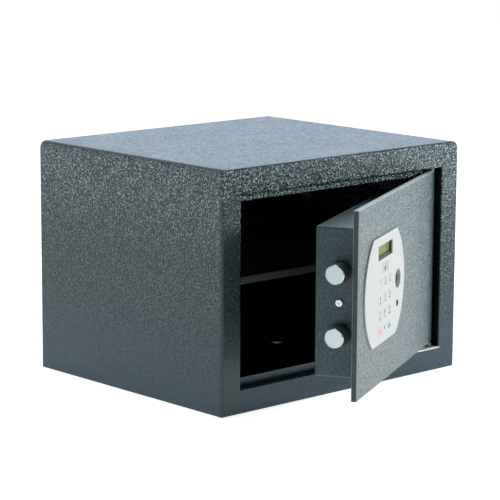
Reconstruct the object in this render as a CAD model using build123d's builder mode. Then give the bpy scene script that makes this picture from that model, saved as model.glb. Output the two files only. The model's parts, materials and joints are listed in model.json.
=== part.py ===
from build123d import *
import math
import os

os.makedirs("parts", exist_ok=True)

# In room safe: a painted steel cabinet with one shelf, and a thick hinged door that carries a
# motor lock, two round bolts and a keypad. Millimetres. The origin is the centre of the cabinet's
# base, +X is right seen from the front, +Y goes into the cabinet and +Z is up.
# The pieces of the door are drawn with the door shut and then turned about the hinge to REST_OPENING.

# ---------------------------------------------------------------- driving dimensions
WIDTH = 350.0
DEPTH = 300.0
HEIGHT = 255.0
SHEET = 2.0
FRONT_SHEET = 3.0
TOP_RADIUS = 8.0
FOOT_RADIUS = 1.5
EDGE_RADIUS = 2.0
MOUTH_EDGE_RADIUS = 1.2
BACK_EDGE_RADIUS = 1.0
WRAP_EDGE_CHAMFER = 0.8

MOUTH_WIDTH = 299.0
MOUTH_HEIGHT = 202.0
MOUTH_CENTRE_Z = 127.0
RETURN_DEPTH = 9.0
RETURN_SHEET = 2.0
LIP_HEIGHT = 8.7
LIP_END_X = 132.0

SHELF_TOP_Z = 127.0
SHELF_FRONT_Y = -88.0
SHELF_BACK_Y = 146.0
SHELF_HALF_WIDTH = 170.0
SHELF_SHEET = 1.5
SHELF_FLANGE = 8.0
ANGLE_LEG = 12.0

ANCHOR_RADIUS = 6.0
FLOOR_ANCHOR_SPACING = 200.0
FLOOR_ANCHOR_Y = 60.0
WALL_ANCHOR_SPACING = 180.0
WALL_ANCHOR_Z = 190.0

DOOR_WIDTH = 293.0
DOOR_LOW_Z = 31.0
DOOR_HIGH_Z = 224.0
DOOR_PLATE = 6.0
DOOR_RIGHT_X = 146.5
DOOR_FRONT_Y = -144.5
DOOR_BEVEL = 0.7
HINGE_INSET = 5.6
HINGE_PIN_RADIUS = 2.0
HINGE_RUNNING_GAP = 0.05
HINGE_CLEARANCE = 0.3
HINGE_PIN_DEPTH = 10.0
REST_OPENING = 28.0

COVER_RIGHT_U = 18.0
COVER_LEFT_U = 278.0
COVER_LOW_Z = 51.0
COVER_HIGH_Z = 204.0
COVER_BACK_V = 49.0
COVER_SHEET = 1.5
COVER_BEND = 2.0

BOLT_RADIUS = 10.0
BOLT_V = 22.7
BOLT_ZS = (159.5, 95.5)
BOLT_TIP_U = 299.0
BOLT_ROOT_U = 232.0
BOLT_CHAMFER = 0.9
BOLT_SCREW_RADIUS = 2.5
BOLT_SCREW_DEPTH = 16.0
BUSH_RADIUS = 11.0
BUSH_FLANGE_RADIUS = 11.7
BUSH_GAP = 0.25

FASCIA_U = 200.0
FASCIA_Z = 130.0
FASCIA_HEIGHT = 112.0
FASCIA_END_HALF = 43.0
FASCIA_MID_HALF = 73.0
FASCIA_THICK = 1.6

KEY_NAMES = (
    ("key_1", "key_2", "key_3"),
    ("key_4", "key_5", "key_6"),
    ("key_7", "key_8", "key_9"),
    ("key_clear", "key_0", "key_enter"),
)
KEY_PITCH_U = 17.4
KEY_PITCH_Z = 16.8
KEY_TOP_Z = 137.3
KEY_WIDTH = 12.0
KEY_HEIGHT = 10.0
KEY_GAP = 0.2
KEY_FLANGE = 0.8
KEY_FLANGE_THICK = 0.6
KEY_FLANGE_GAP = 0.1

LCD_U = 200.85
LCD_Z = 169.3
LCD_WIDTH = 52.7
LCD_HEIGHT = 14.7
LCD_DEPTH = 1.7

SENSOR_U = 152.0
SENSOR_Z = 131.0
SENSOR_RADIUS = 10.5
SENSOR_WINDOW_RADIUS = 7.0

PORT_U = 153.0
PORT_Z = 105.0
PORT_RADIUS = 4.0
PORT_BORE_RADIUS = 3.0
PORT_PIN_RADIUS = 0.8
PORT_DEPTH = 8.5

GEAR_MODULE = 1.0
GEAR_TEETH = 16
GEAR_ADDENDUM = 0.95
GEAR_DEDENDUM = 1.25
GEAR_PRESSURE_ANGLE = 20.0
GEAR_BACKLASH = 0.12
PINION_U = 182.0
PITCH_LINE_Z = 125.5
GEAR_LOW_V = 19.0
GEAR_HIGH_V = 25.0
PINION_SHAFT_RADIUS = 2.0

BATTERY_RADIUS = 7.2
BATTERY_LENGTH = 50.0
BATTERY_PITCH = 15.0
BAY_LOW_U = 48.0
BAY_HIGH_U = 102.0
BAY_LOW_Z = 97.5
BAY_HIGH_Z = 158.5
LID_TRAVEL = 58.0

# ---------------------------------------------------------------- worked out from the above
FRONT_Y = -DEPTH / 2
BACK_Y = DEPTH / 2
WRAP_FRONT_Y = FRONT_Y + FRONT_SHEET
WRAP_BACK_Y = BACK_Y - SHEET
LIP_FRONT_Y = WRAP_FRONT_Y + RETURN_DEPTH
MOUTH_LOW_Z = MOUTH_CENTRE_Z - MOUTH_HEIGHT / 2
MOUTH_HIGH_Z = MOUTH_CENTRE_Z + MOUTH_HEIGHT / 2
HINGE_X = DOOR_RIGHT_X - HINGE_INSET
HINGE_Y = DOOR_FRONT_Y + DOOR_PLATE / 2
HINGE_AXIS = Axis((HINGE_X, HINGE_Y, 0), (0, 0, 1))
BUSH_BORE = BOLT_RADIUS + BUSH_GAP
COVER_INNER_V = COVER_BACK_V - COVER_SHEET
PINION_Z = PITCH_LINE_Z - GEAR_MODULE * GEAR_TEETH / 2

# ---------------------------------------------------------------- door coordinates
# u runs leftwards from the door plate's right edge, v runs back from its front face.


def face_at(v):
    """Plane parallel to the door's face: local x is u, local y is z, and it extrudes backwards."""
    origin = (DOOR_RIGHT_X, DOOR_FRONT_Y + v, 0)
    return Plane(origin=origin, x_dir=(-1, 0, 0), z_dir=(0, 1, 0))


def side_at(u):
    """Plane across the door: local x is v, local y is z, and it extrudes towards the hinge."""
    origin = (DOOR_RIGHT_X - u, DOOR_FRONT_Y, 0)
    return Plane(origin=origin, x_dir=(0, 1, 0), z_dir=(1, 0, 0))


def level_at(z):
    """Level plane: local x is u, local y is v, and it extrudes downwards."""
    origin = (DOOR_RIGHT_X, DOOR_FRONT_Y, z)
    return Plane(origin=origin, x_dir=(-1, 0, 0), z_dir=(0, 0, -1))


def block(x_range, y_range, z_range, mode=Mode.ADD):
    """Box between two corners, in cabinet coordinates."""
    centre = [(low + high) / 2 for low, high in (x_range, y_range, z_range)]
    size = [high - low for low, high in (x_range, y_range, z_range)]
    with Locations(tuple(centre)):
        Box(*size, mode=mode)


def door_block(u_range, v_range, z_range, mode=Mode.ADD):
    """Box between two corners, in door coordinates."""
    x_range = (DOOR_RIGHT_X - u_range[1], DOOR_RIGHT_X - u_range[0])
    y_range = (DOOR_FRONT_Y + v_range[0], DOOR_FRONT_Y + v_range[1])
    block(x_range, y_range, z_range, mode)


def outside_left(u):
    """Plane across the door that faces away from the hinge: local x is -v, local y is z."""
    origin = (DOOR_RIGHT_X - u, DOOR_FRONT_Y, 0)
    return Plane(origin=origin, x_dir=(0, -1, 0), z_dir=(-1, 0, 0))


def pan_screw(plane, centre, head_radius, head_height, shank_radius, shank_length):
    """Pan-head cross-recess screw: its head stands on the plane, its shank goes down through it."""
    with BuildPart() as screw:
        with BuildSketch(plane):
            with Locations(centre):
                Circle(head_radius)
        extrude(amount=head_height)
        crown = faces().sort_by(Axis(plane.origin, plane.z_dir))[-1]
        fillet(crown.edges(), head_height * 0.45)
        with BuildSketch(plane):
            with Locations(centre):
                Circle(shank_radius)
        extrude(amount=-shank_length)
        with BuildSketch(plane.offset(head_height)):
            with Locations(centre):
                Rectangle(head_radius * 1.05, head_radius * 0.26)
                Rectangle(head_radius * 0.26, head_radius * 1.05)
        extrude(amount=-head_height * 0.6, mode=Mode.SUBTRACT)
    return screw.part


# ---------------------------------------------------------------- cabinet


def cabinet_outline():
    """Front silhouette of the cabinet: large radii on top, nearly sharp at the base."""
    with Locations((0, HEIGHT / 2)):
        Rectangle(WIDTH, HEIGHT)
    rows = vertices().group_by(Axis.Y)
    fillet(rows[-1], TOP_RADIUS)
    fillet(vertices().group_by(Axis.Y)[0], FOOT_RADIUS)


# One sheet bent over the left side, the top and the right side.
with BuildPart() as body_wrap:
    with BuildSketch(Plane.XZ.offset(-WRAP_FRONT_Y)):
        cabinet_outline()
    extrude(amount=WRAP_FRONT_Y - WRAP_BACK_Y)
    with BuildSketch(Plane.XZ.offset(-WRAP_FRONT_Y)):
        with Locations((0, HEIGHT / 2 - SHEET)):
            Rectangle(WIDTH - 2 * SHEET, HEIGHT)
        fillet(vertices().group_by(Axis.Y)[-1], TOP_RADIUS - SHEET)
    extrude(amount=WRAP_FRONT_Y - WRAP_BACK_Y, mode=Mode.SUBTRACT)
    top_front = edges().filter_by(Axis.X).group_by(Axis.Z)[-1].sort_by(Axis.Y)[0]
    chamfer(top_front, WRAP_EDGE_CHAMFER)

# Welded base with two anchor holes.
with BuildPart() as floor_plate:
    block((-WIDTH / 2 + SHEET, WIDTH / 2 - SHEET), (WRAP_FRONT_Y, WRAP_BACK_Y), (0, SHEET))
    with BuildSketch(Plane.XY):
        with Locations((0, FLOOR_ANCHOR_Y)):
            with GridLocations(FLOOR_ANCHOR_SPACING, 0, 2, 1):
                Circle(ANCHOR_RADIUS)
    extrude(amount=SHEET, mode=Mode.SUBTRACT)

# Back panel with two anchor holes.
with BuildPart() as back_plate:
    with BuildSketch(Plane.XZ.offset(-WRAP_BACK_Y)):
        cabinet_outline()
        with Locations((0, WALL_ANCHOR_Z)):
            with GridLocations(WALL_ANCHOR_SPACING, 0, 2, 1):
                Circle(ANCHOR_RADIUS, mode=Mode.SUBTRACT)
    extrude(amount=-SHEET)
    fillet(faces().sort_by(Axis.Y)[-1].outer_wire().edges(), BACK_EDGE_RADIUS)

# Front sheet with the door mouth and the return folded back around it.
with BuildPart() as front_frame:
    with BuildSketch(Plane.XZ.offset(-WRAP_FRONT_Y)):
        cabinet_outline()
    extrude(amount=FRONT_SHEET)
    fillet(faces().sort_by(Axis.Y)[0].outer_wire().edges(), EDGE_RADIUS)
    with BuildSketch(Plane.XZ.offset(-WRAP_FRONT_Y)):
        with Locations((0, MOUTH_CENTRE_Z)):
            Rectangle(MOUTH_WIDTH + 2 * RETURN_SHEET, MOUTH_HEIGHT + 2 * RETURN_SHEET)
    extrude(amount=-RETURN_DEPTH)
    with BuildSketch(Plane.XZ.offset(-FRONT_Y)):
        with Locations((0, MOUTH_CENTRE_Z)):
            Rectangle(MOUTH_WIDTH, MOUTH_HEIGHT)
    extrude(amount=-(FRONT_SHEET + RETURN_DEPTH), mode=Mode.SUBTRACT)
    mouth_edges = faces().sort_by(Axis.Y)[0].inner_wires()[0].edges()
    fillet(mouth_edges, MOUTH_EDGE_RADIUS)
    with BuildSketch(Plane.XY.offset(MOUTH_LOW_Z - RETURN_SHEET)):
        with Locations((HINGE_X, HINGE_Y)):
            Circle(HINGE_PIN_RADIUS + HINGE_CLEARANCE)
    extrude(amount=RETURN_SHEET, mode=Mode.SUBTRACT)
    with BuildSketch(Plane.XY.offset(MOUTH_HIGH_Z)):
        with Locations((HINGE_X, HINGE_Y)):
            Circle(HINGE_PIN_RADIUS + HINGE_CLEARANCE)
    extrude(amount=RETURN_SHEET, mode=Mode.SUBTRACT)

# Strip that the shut door and its bolts bear on: left, top and bottom, open at the hinge side.
LIP_CORNER_RADIUS = 2.0
with BuildPart() as stop_lip:
    lip_left = -MOUTH_WIDTH / 2 - RETURN_SHEET
    lip_low = MOUTH_LOW_Z - RETURN_SHEET
    lip_high = MOUTH_HIGH_Z + RETURN_SHEET
    block((lip_left, LIP_END_X), (LIP_FRONT_Y, LIP_FRONT_Y + SHEET), (lip_low, lip_high))
    inner_left = -MOUTH_WIDTH / 2 + LIP_HEIGHT
    inner_low = MOUTH_LOW_Z + LIP_HEIGHT
    inner_high = MOUTH_HIGH_Z - LIP_HEIGHT
    block(
        (inner_left, LIP_END_X + SHEET),
        (LIP_FRONT_Y - SHEET, LIP_FRONT_Y + 2 * SHEET),
        (inner_low, inner_high),
        mode=Mode.SUBTRACT,
    )
    inner_corners = edges().filter_by(Axis.Y).group_by(Axis.X)[1]
    fillet(inner_corners, LIP_CORNER_RADIUS)

# Steel blocks behind the return that hold the hinge pins.
BRACKET_HEIGHT = 8.0
BRACKET_DEPTH = 13.0
BRACKET_LEFT = 10.0
BRACKET_RIGHT = 8.0
PIN_END_GAP = 1.5
with BuildPart() as hinge_brackets:
    for low_z in (MOUTH_LOW_Z - RETURN_SHEET - BRACKET_HEIGHT, MOUTH_HIGH_Z + RETURN_SHEET):
        block(
            (HINGE_X - BRACKET_LEFT, HINGE_X + BRACKET_RIGHT),
            (WRAP_FRONT_Y, WRAP_FRONT_Y + BRACKET_DEPTH),
            (low_z, low_z + BRACKET_HEIGHT),
        )
        with BuildSketch(Plane.XY.offset(low_z)):
            with Locations((HINGE_X, HINGE_Y)):
                Circle(HINGE_PIN_RADIUS + HINGE_RUNNING_GAP)
        extrude(amount=BRACKET_HEIGHT, mode=Mode.SUBTRACT)

# Brass washers that fill the gap between the door plate and the mouth.
WASHER_GAP = 0.3
WASHER_RADIUS = 3.8
WASHER_SPANS = ((MOUTH_LOW_Z, DOOR_LOW_Z - WASHER_GAP), (DOOR_HIGH_Z + WASHER_GAP, MOUTH_HIGH_Z))
with BuildPart() as hinge_washers:
    for low_z, high_z in WASHER_SPANS:
        with BuildSketch(Plane.XY.offset(low_z)):
            with Locations((HINGE_X, HINGE_Y)):
                Circle(WASHER_RADIUS)
                Circle(HINGE_PIN_RADIUS + HINGE_RUNNING_GAP, mode=Mode.SUBTRACT)
        extrude(amount=high_z - low_z)

SHELF_BEND = 1.2

# Folded shelf: a flat tray with a flange down at the front and up at the back.
with BuildPart() as shelf:
    with BuildSketch(Plane.YZ.offset(-SHELF_HALF_WIDTH)):
        with BuildLine():
            Polyline(
                (SHELF_FRONT_Y, SHELF_TOP_Z),
                (SHELF_FRONT_Y, SHELF_TOP_Z - SHELF_FLANGE),
                (SHELF_FRONT_Y + SHELF_SHEET, SHELF_TOP_Z - SHELF_FLANGE),
                (SHELF_FRONT_Y + SHELF_SHEET, SHELF_TOP_Z - SHELF_SHEET),
                (SHELF_BACK_Y, SHELF_TOP_Z - SHELF_SHEET),
                (SHELF_BACK_Y, SHELF_TOP_Z + SHELF_FLANGE),
                (SHELF_BACK_Y - SHELF_SHEET, SHELF_TOP_Z + SHELF_FLANGE),
                (SHELF_BACK_Y - SHELF_SHEET, SHELF_TOP_Z),
                close=True,
            )
        make_face()
    extrude(amount=2 * SHELF_HALF_WIDTH)
    bends = edges().filter_by(Axis.X)
    front_bend = bends.group_by(Axis.Z)[-2].sort_by(Axis.Y)[0]
    fillet(front_bend, SHELF_BEND)

# Angles welded to the side walls under the shelf.
ANGLE_TOP_Z = SHELF_TOP_Z - SHELF_SHEET
ANGLE_Y = (-70.0, 130.0)
with BuildPart() as shelf_brackets:
    for side in (-1, 1):
        wall = side * (WIDTH / 2 - SHEET)
        inner = wall - side * ANGLE_LEG
        web = wall - side * SHEET
        block((min(wall, inner), max(wall, inner)), ANGLE_Y, (ANGLE_TOP_Z - SHEET, ANGLE_TOP_Z))
        block((min(wall, web), max(wall, web)), ANGLE_Y, (ANGLE_TOP_Z - ANGLE_LEG, ANGLE_TOP_Z))

# Loose felt mat on the floor, cut out over the anchor holes.
MAT_THICK = 2.0
MAT_X = (-171.0, 171.0)
MAT_Y = (-134.0, 146.0)
MAT_HOLE_RADIUS = 12.0
MAT_CORNER_RADIUS = 4.0
with BuildPart() as floor_mat:
    block(MAT_X, MAT_Y, (SHEET, SHEET + MAT_THICK))
    with BuildSketch(Plane.XY.offset(SHEET)):
        with Locations((0, FLOOR_ANCHOR_Y)):
            with GridLocations(FLOOR_ANCHOR_SPACING, 0, 2, 1):
                Circle(MAT_HOLE_RADIUS)
    extrude(amount=MAT_THICK, mode=Mode.SUBTRACT)
    fillet(edges().filter_by(Axis.Z).filter_by(GeomType.LINE), MAT_CORNER_RADIUS)

# ---------------------------------------------------------------- door leaf
FASCIA_SCREW_U = (157.0, 243.0)
FASCIA_SCREW_Z = (88.0, 172.0)
FASCIA_SCREWS = [(u, z) for u in FASCIA_SCREW_U for z in FASCIA_SCREW_Z]
SCREW_RADIUS = 1.5
CHASSIS_U = (140.0, 201.0)
CHASSIS_Z = (82.0, 181.0)
CHASSIS_V = (25.6, 27.2)
CHASSIS_FOOT = 14.0
CHASSIS_SCREWS = [(u, z) for u in (150.0, 191.0) for z in (74.0, 189.0)]
CHASSIS_BORE_RADIUS = 6.0
CHASSIS_SLOT = (152.0, 160.0)
CHASSIS_SLOT_SIZE = (16.0, 8.0)
GUIDE_U = (254.0, 256.0)
GUIDE_SCREWS = [(264.0, 84.0), (264.0, 171.0)]
BRACKET_SCREWS = [(266.0, 120.0), (266.0, 135.0), (29.0, 120.0), (29.0, 135.0)]
PLATE_SCREWS = CHASSIS_SCREWS + GUIDE_SCREWS + BRACKET_SCREWS
THREAD_DEPTH = 4.0
DOOR_CORNER_RADIUS = 0.6
PORT_CLEARANCE = 0.5
KEYPAD_WELL_U = (171.0, 229.0)
KEYPAD_WELL_Z = (79.0, 147.0)
LCD_WELL_U = (171.0, 230.6)
LCD_WELL_Z = (158.0, 180.0)

# Thick steel door plate, bevelled all round, with wells for the keypad parts and blind pin holes.
with BuildPart() as door_plate:
    door_block((0, DOOR_WIDTH), (0, DOOR_PLATE), (DOOR_LOW_Z, DOOR_HIGH_Z))
    chamfer(faces().sort_by(Axis.Y)[0].edges(), DOOR_BEVEL)
    chamfer(faces().sort_by(Axis.Y)[-1].edges(), DOOR_BEVEL)
    fillet(edges().filter_by(Axis.Y), DOOR_CORNER_RADIUS)
    door_block(KEYPAD_WELL_U, (0, DOOR_PLATE), KEYPAD_WELL_Z, mode=Mode.SUBTRACT)
    door_block(LCD_WELL_U, (0, DOOR_PLATE), LCD_WELL_Z, mode=Mode.SUBTRACT)
    with BuildSketch(face_at(0)):
        with Locations((SENSOR_U, SENSOR_Z)):
            Circle(SENSOR_RADIUS)
        with Locations((PORT_U, PORT_Z)):
            Circle(PORT_RADIUS + PORT_CLEARANCE)
        with Locations(*FASCIA_SCREWS):
            Circle(SCREW_RADIUS)
    extrude(amount=DOOR_PLATE, mode=Mode.SUBTRACT)
    with BuildSketch(face_at(DOOR_PLATE - THREAD_DEPTH)):
        with Locations(*PLATE_SCREWS):
            Circle(SCREW_RADIUS)
    extrude(amount=THREAD_DEPTH, mode=Mode.SUBTRACT)
    for low_z in (DOOR_LOW_Z, DOOR_HIGH_Z - HINGE_PIN_DEPTH):
        with BuildSketch(Plane.XY.offset(low_z)):
            with Locations((HINGE_X, HINGE_Y)):
                Circle(HINGE_PIN_RADIUS)
        extrude(amount=HINGE_PIN_DEPTH, mode=Mode.SUBTRACT)

PIN_CHAMFER = 0.4

# Hinge pins pressed into the plate's top and bottom edges.
with BuildPart() as hinge_pins:
    low_end = MOUTH_LOW_Z - RETURN_SHEET - BRACKET_HEIGHT + PIN_END_GAP
    high_end = MOUTH_HIGH_Z + RETURN_SHEET + BRACKET_HEIGHT - PIN_END_GAP
    pin_spans = (
        (low_end, DOOR_LOW_Z + HINGE_PIN_DEPTH),
        (DOOR_HIGH_Z - HINGE_PIN_DEPTH, high_end),
    )
    for low_z, high_z in pin_spans:
        with BuildSketch(Plane.XY.offset(low_z)):
            with Locations((HINGE_X, HINGE_Y)):
                Circle(HINGE_PIN_RADIUS)
        extrude(amount=high_z - low_z)
    ends = edges().group_by(Axis.Z)
    chamfer([*ends[0], *ends[-1]], PIN_CHAMFER)

# ---------------------------------------------------------------- lock cover
SIDE_SCREW_V = 23.5
SIDE_SCREW_Z = 127.5
BACK_SCREWS = [(262.0, 190.0), (40.0, 65.0)]
RESET_U = 215.0
RESET_Z = 75.0
RESET_RADIUS = 3.0
RESET_GAP = 0.3
COVER_SCREW_CLEARANCE = 0.7
BAY_CUT_MARGIN = 1.5

# Folded pan that closes the lock case behind the plate.
with BuildPart() as lock_cover:
    door_block(
        (COVER_RIGHT_U, COVER_LEFT_U), (DOOR_PLATE, COVER_BACK_V), (COVER_LOW_Z, COVER_HIGH_Z)
    )
    fillet(edges().filter_by(Axis.Y), COVER_BEND)
    fillet(faces().sort_by(Axis.Y)[-1].edges(), COVER_BEND)
    open_face = faces().sort_by(Axis.Y)[0]
    offset(amount=-COVER_SHEET, openings=open_face)
    with BuildSketch(side_at(COVER_LEFT_U)):
        with Locations(*[(BOLT_V, z) for z in BOLT_ZS]):
            Circle(BUSH_RADIUS)
        with Locations((SIDE_SCREW_V, SIDE_SCREW_Z)):
            Circle(SCREW_RADIUS + COVER_SCREW_CLEARANCE)
    extrude(amount=2 * COVER_SHEET, mode=Mode.SUBTRACT)
    with BuildSketch(side_at(COVER_RIGHT_U)):
        with Locations((SIDE_SCREW_V, SIDE_SCREW_Z)):
            Circle(SCREW_RADIUS + COVER_SCREW_CLEARANCE)
    extrude(amount=-2 * COVER_SHEET, mode=Mode.SUBTRACT)
    with BuildSketch(face_at(COVER_BACK_V)):
        bay_centre = ((BAY_LOW_U + BAY_HIGH_U) / 2, (BAY_LOW_Z + BAY_HIGH_Z) / 2)
        with Locations(bay_centre):
            bay_width = BAY_HIGH_U - BAY_LOW_U
            bay_height = BAY_HIGH_Z - BAY_LOW_Z
            Rectangle(bay_width + 2 * BAY_CUT_MARGIN, bay_height + 2 * BAY_CUT_MARGIN)
        with Locations((RESET_U, RESET_Z)):
            Circle(RESET_RADIUS + RESET_GAP)
        with Locations(*BACK_SCREWS):
            Circle(SCREW_RADIUS + COVER_SCREW_CLEARANCE)
    extrude(amount=-2 * COVER_SHEET, mode=Mode.SUBTRACT)

# Two angle clips and two pillars that the cover is screwed to.
PILLAR_RADIUS = 4.0
PILLAR_THREAD = 8.0
CLIP_SHEET = 2.0
CLIP_FOOT = 17.0
CLIP_Z = (115.0, 140.0)
CLIP_FOOT_V = (DOOR_PLATE, DOOR_PLATE + CLIP_SHEET)
CLIP_WEB_V = (DOOR_PLATE, 32.0)
with BuildPart() as cover_brackets:
    left_wall = COVER_LEFT_U - COVER_SHEET
    right_wall = COVER_RIGHT_U + COVER_SHEET
    door_block((left_wall - CLIP_FOOT, left_wall), CLIP_FOOT_V, CLIP_Z)
    door_block((left_wall - CLIP_SHEET, left_wall), CLIP_WEB_V, CLIP_Z)
    door_block((right_wall, right_wall + CLIP_FOOT), CLIP_FOOT_V, CLIP_Z)
    door_block((right_wall, right_wall + CLIP_SHEET), CLIP_WEB_V, CLIP_Z)
    with BuildSketch(face_at(DOOR_PLATE)):
        with Locations(*BRACKET_SCREWS):
            Circle(SCREW_RADIUS)
    extrude(amount=CLIP_SHEET, mode=Mode.SUBTRACT)
    with BuildSketch(side_at(left_wall)):
        with Locations((SIDE_SCREW_V, SIDE_SCREW_Z)):
            Circle(SCREW_RADIUS)
    extrude(amount=CLIP_SHEET, mode=Mode.SUBTRACT)
    with BuildSketch(side_at(right_wall)):
        with Locations((SIDE_SCREW_V, SIDE_SCREW_Z)):
            Circle(SCREW_RADIUS)
    extrude(amount=-CLIP_SHEET, mode=Mode.SUBTRACT)
    with BuildSketch(face_at(DOOR_PLATE)):
        with Locations(*BACK_SCREWS):
            Circle(PILLAR_RADIUS)
    extrude(amount=COVER_INNER_V - DOOR_PLATE)
    with BuildSketch(face_at(COVER_INNER_V)):
        with Locations(*BACK_SCREWS):
            Circle(SCREW_RADIUS)
    extrude(amount=-PILLAR_THREAD, mode=Mode.SUBTRACT)


# Zinc screws of the cover: one on each side, two on the back.
SIDE_SCREW = (4.0, 2.4, SCREW_RADIUS, 3.5)
BACK_SCREW = (3.6, 2.2, SCREW_RADIUS, 8.0)
cover_screw_set = [
    pan_screw(outside_left(COVER_LEFT_U), (-SIDE_SCREW_V, SIDE_SCREW_Z), *SIDE_SCREW),
    pan_screw(side_at(COVER_RIGHT_U), (SIDE_SCREW_V, SIDE_SCREW_Z), *SIDE_SCREW),
]
for centre in BACK_SCREWS:
    cover_screw_set.append(pan_screw(face_at(COVER_BACK_V), centre, *BACK_SCREW))
with BuildPart() as cover_screws:
    add(cover_screw_set)

# ---------------------------------------------------------------- bolts and their guides

BUSH_FLANGE = 1.2
BUSH_LENGTH = 8.0
BUSH_CHAMFER = 0.3

# Black plastic bushes in the cover's side.
with BuildPart() as bolt_bushes:
    for z in BOLT_ZS:
        with BuildSketch(outside_left(COVER_LEFT_U)):
            with Locations((-BOLT_V, z)):
                Circle(BUSH_FLANGE_RADIUS)
        extrude(amount=BUSH_FLANGE)
        with BuildSketch(outside_left(COVER_LEFT_U)):
            with Locations((-BOLT_V, z)):
                Circle(BUSH_RADIUS)
        extrude(amount=-BUSH_LENGTH)
        with BuildSketch(outside_left(COVER_LEFT_U + BUSH_FLANGE)):
            with Locations((-BOLT_V, z)):
                Circle(BUSH_BORE)
        extrude(amount=-(BUSH_FLANGE + BUSH_LENGTH), mode=Mode.SUBTRACT)
    rims = edges().filter_by(GeomType.CIRCLE).group_by(Axis.X)[0]
    chamfer(rims, BUSH_CHAMFER)


def locking_bolt(z):
    """Solid round bolt with a small chamfer on its face and a thread in its inner end."""
    with BuildPart() as bolt:
        with BuildSketch(side_at(BOLT_TIP_U)):
            with Locations((BOLT_V, z)):
                Circle(BOLT_RADIUS)
        extrude(amount=BOLT_TIP_U - BOLT_ROOT_U)
        chamfer(edges().group_by(Axis.X)[0], BOLT_CHAMFER)
        with BuildSketch(side_at(BOLT_ROOT_U)):
            with Locations((BOLT_V, z)):
                Circle(BOLT_SCREW_RADIUS)
        extrude(amount=-BOLT_SCREW_DEPTH, mode=Mode.SUBTRACT)
    return bolt


BAR_U = (226.0, BOLT_ROOT_U)
BAR_V = (14.0, 31.4)
BAR_Z = (82.0, 173.0)
BAR_CORNER_RADIUS = 2.0
bolt_upper = locking_bolt(BOLT_ZS[0])
bolt_lower = locking_bolt(BOLT_ZS[1])

# Bar that ties the two bolts together.
with BuildPart() as bolt_bar:
    door_block(BAR_U, BAR_V, BAR_Z)
    fillet(edges().filter_by(Axis.X), BAR_CORNER_RADIUS)
    with BuildSketch(side_at(BAR_U[1])):
        with Locations(*[(BOLT_V, z) for z in BOLT_ZS]):
            Circle(BOLT_SCREW_RADIUS)
    extrude(amount=BAR_U[1] - BAR_U[0], mode=Mode.SUBTRACT)

BOLT_SCREW = (4.4, 3.0, BOLT_SCREW_RADIUS, 20.0)
bolt_screw_set = []
for z in BOLT_ZS:
    bolt_screw_set.append(pan_screw(side_at(BAR_U[0]), (BOLT_V, z), *BOLT_SCREW))
with BuildPart() as bolt_screws:
    add(bolt_screw_set)

GUIDE_SHEET = GUIDE_U[1] - GUIDE_U[0]
GUIDE_V = (DOOR_PLATE, 36.0)
GUIDE_Z = (78.0, 177.0)
GUIDE_FOOT_U = 270.0
GUIDE_FOOT_HEIGHT = 12.0

# Folded guide that carries the inner part of both bolts.
with BuildPart() as bolt_guide:
    door_block(GUIDE_U, GUIDE_V, GUIDE_Z)
    for low_z in (GUIDE_Z[0], GUIDE_Z[1] - GUIDE_FOOT_HEIGHT):
        foot_z = (low_z, low_z + GUIDE_FOOT_HEIGHT)
        door_block((GUIDE_U[0], GUIDE_FOOT_U), (DOOR_PLATE, DOOR_PLATE + GUIDE_SHEET), foot_z)
    with BuildSketch(side_at(GUIDE_U[1])):
        with Locations(*[(BOLT_V, z) for z in BOLT_ZS]):
            Circle(BUSH_BORE)
    extrude(amount=GUIDE_SHEET, mode=Mode.SUBTRACT)
    with BuildSketch(face_at(DOOR_PLATE)):
        with Locations(*GUIDE_SCREWS):
            Circle(SCREW_RADIUS)
    extrude(amount=GUIDE_SHEET, mode=Mode.SUBTRACT)

# ---------------------------------------------------------------- rack and pinion
TOOTH_PITCH = math.pi * GEAR_MODULE
HALF_TOOTH = TOOTH_PITCH / 4 - GEAR_BACKLASH / 4
TAN_PRESSURE = math.tan(math.radians(GEAR_PRESSURE_ANGLE))
PITCH_RADIUS = GEAR_MODULE * GEAR_TEETH / 2
BASE_RADIUS = PITCH_RADIUS * math.cos(math.radians(GEAR_PRESSURE_ANGLE))
TIP_RADIUS = PITCH_RADIUS + GEAR_ADDENDUM
ROOT_RADIUS = PITCH_RADIUS - GEAR_DEDENDUM
RACK_U = (171.0, BAR_U[0])
RACK_TOP_Z = 132.5
RACK_FOOT_U = 222.0
RACK_FOOT_HEIGHT = 20.0
RACK_TEETH = range(-3, 10)

with BuildSketch() as rack_tooth:
    tip_half = HALF_TOOTH - GEAR_ADDENDUM * TAN_PRESSURE
    root_half = HALF_TOOTH + GEAR_DEDENDUM * TAN_PRESSURE
    with BuildLine():
        Polyline(
            (-root_half, GEAR_DEDENDUM),
            (-tip_half, -GEAR_ADDENDUM),
            (tip_half, -GEAR_ADDENDUM),
            (root_half, GEAR_DEDENDUM),
            close=True,
        )
    make_face()

# Toothed bar on the back of the bolt bar.
with BuildPart() as bolt_rack:
    with BuildSketch(face_at(GEAR_LOW_V)):
        rack_root_z = PITCH_LINE_Z + GEAR_DEDENDUM
        with Locations(((RACK_U[0] + RACK_U[1]) / 2, (rack_root_z + RACK_TOP_Z) / 2)):
            Rectangle(RACK_U[1] - RACK_U[0], RACK_TOP_Z - rack_root_z)
        with Locations(((RACK_FOOT_U + RACK_U[1]) / 2, SIDE_SCREW_Z)):
            Rectangle(RACK_U[1] - RACK_FOOT_U, RACK_FOOT_HEIGHT)
        for tooth in RACK_TEETH:
            with Locations((PINION_U + tooth * TOOTH_PITCH, PITCH_LINE_Z)):
                add(rack_tooth.sketch)
    extrude(amount=GEAR_HIGH_V - GEAR_LOW_V)


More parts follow.
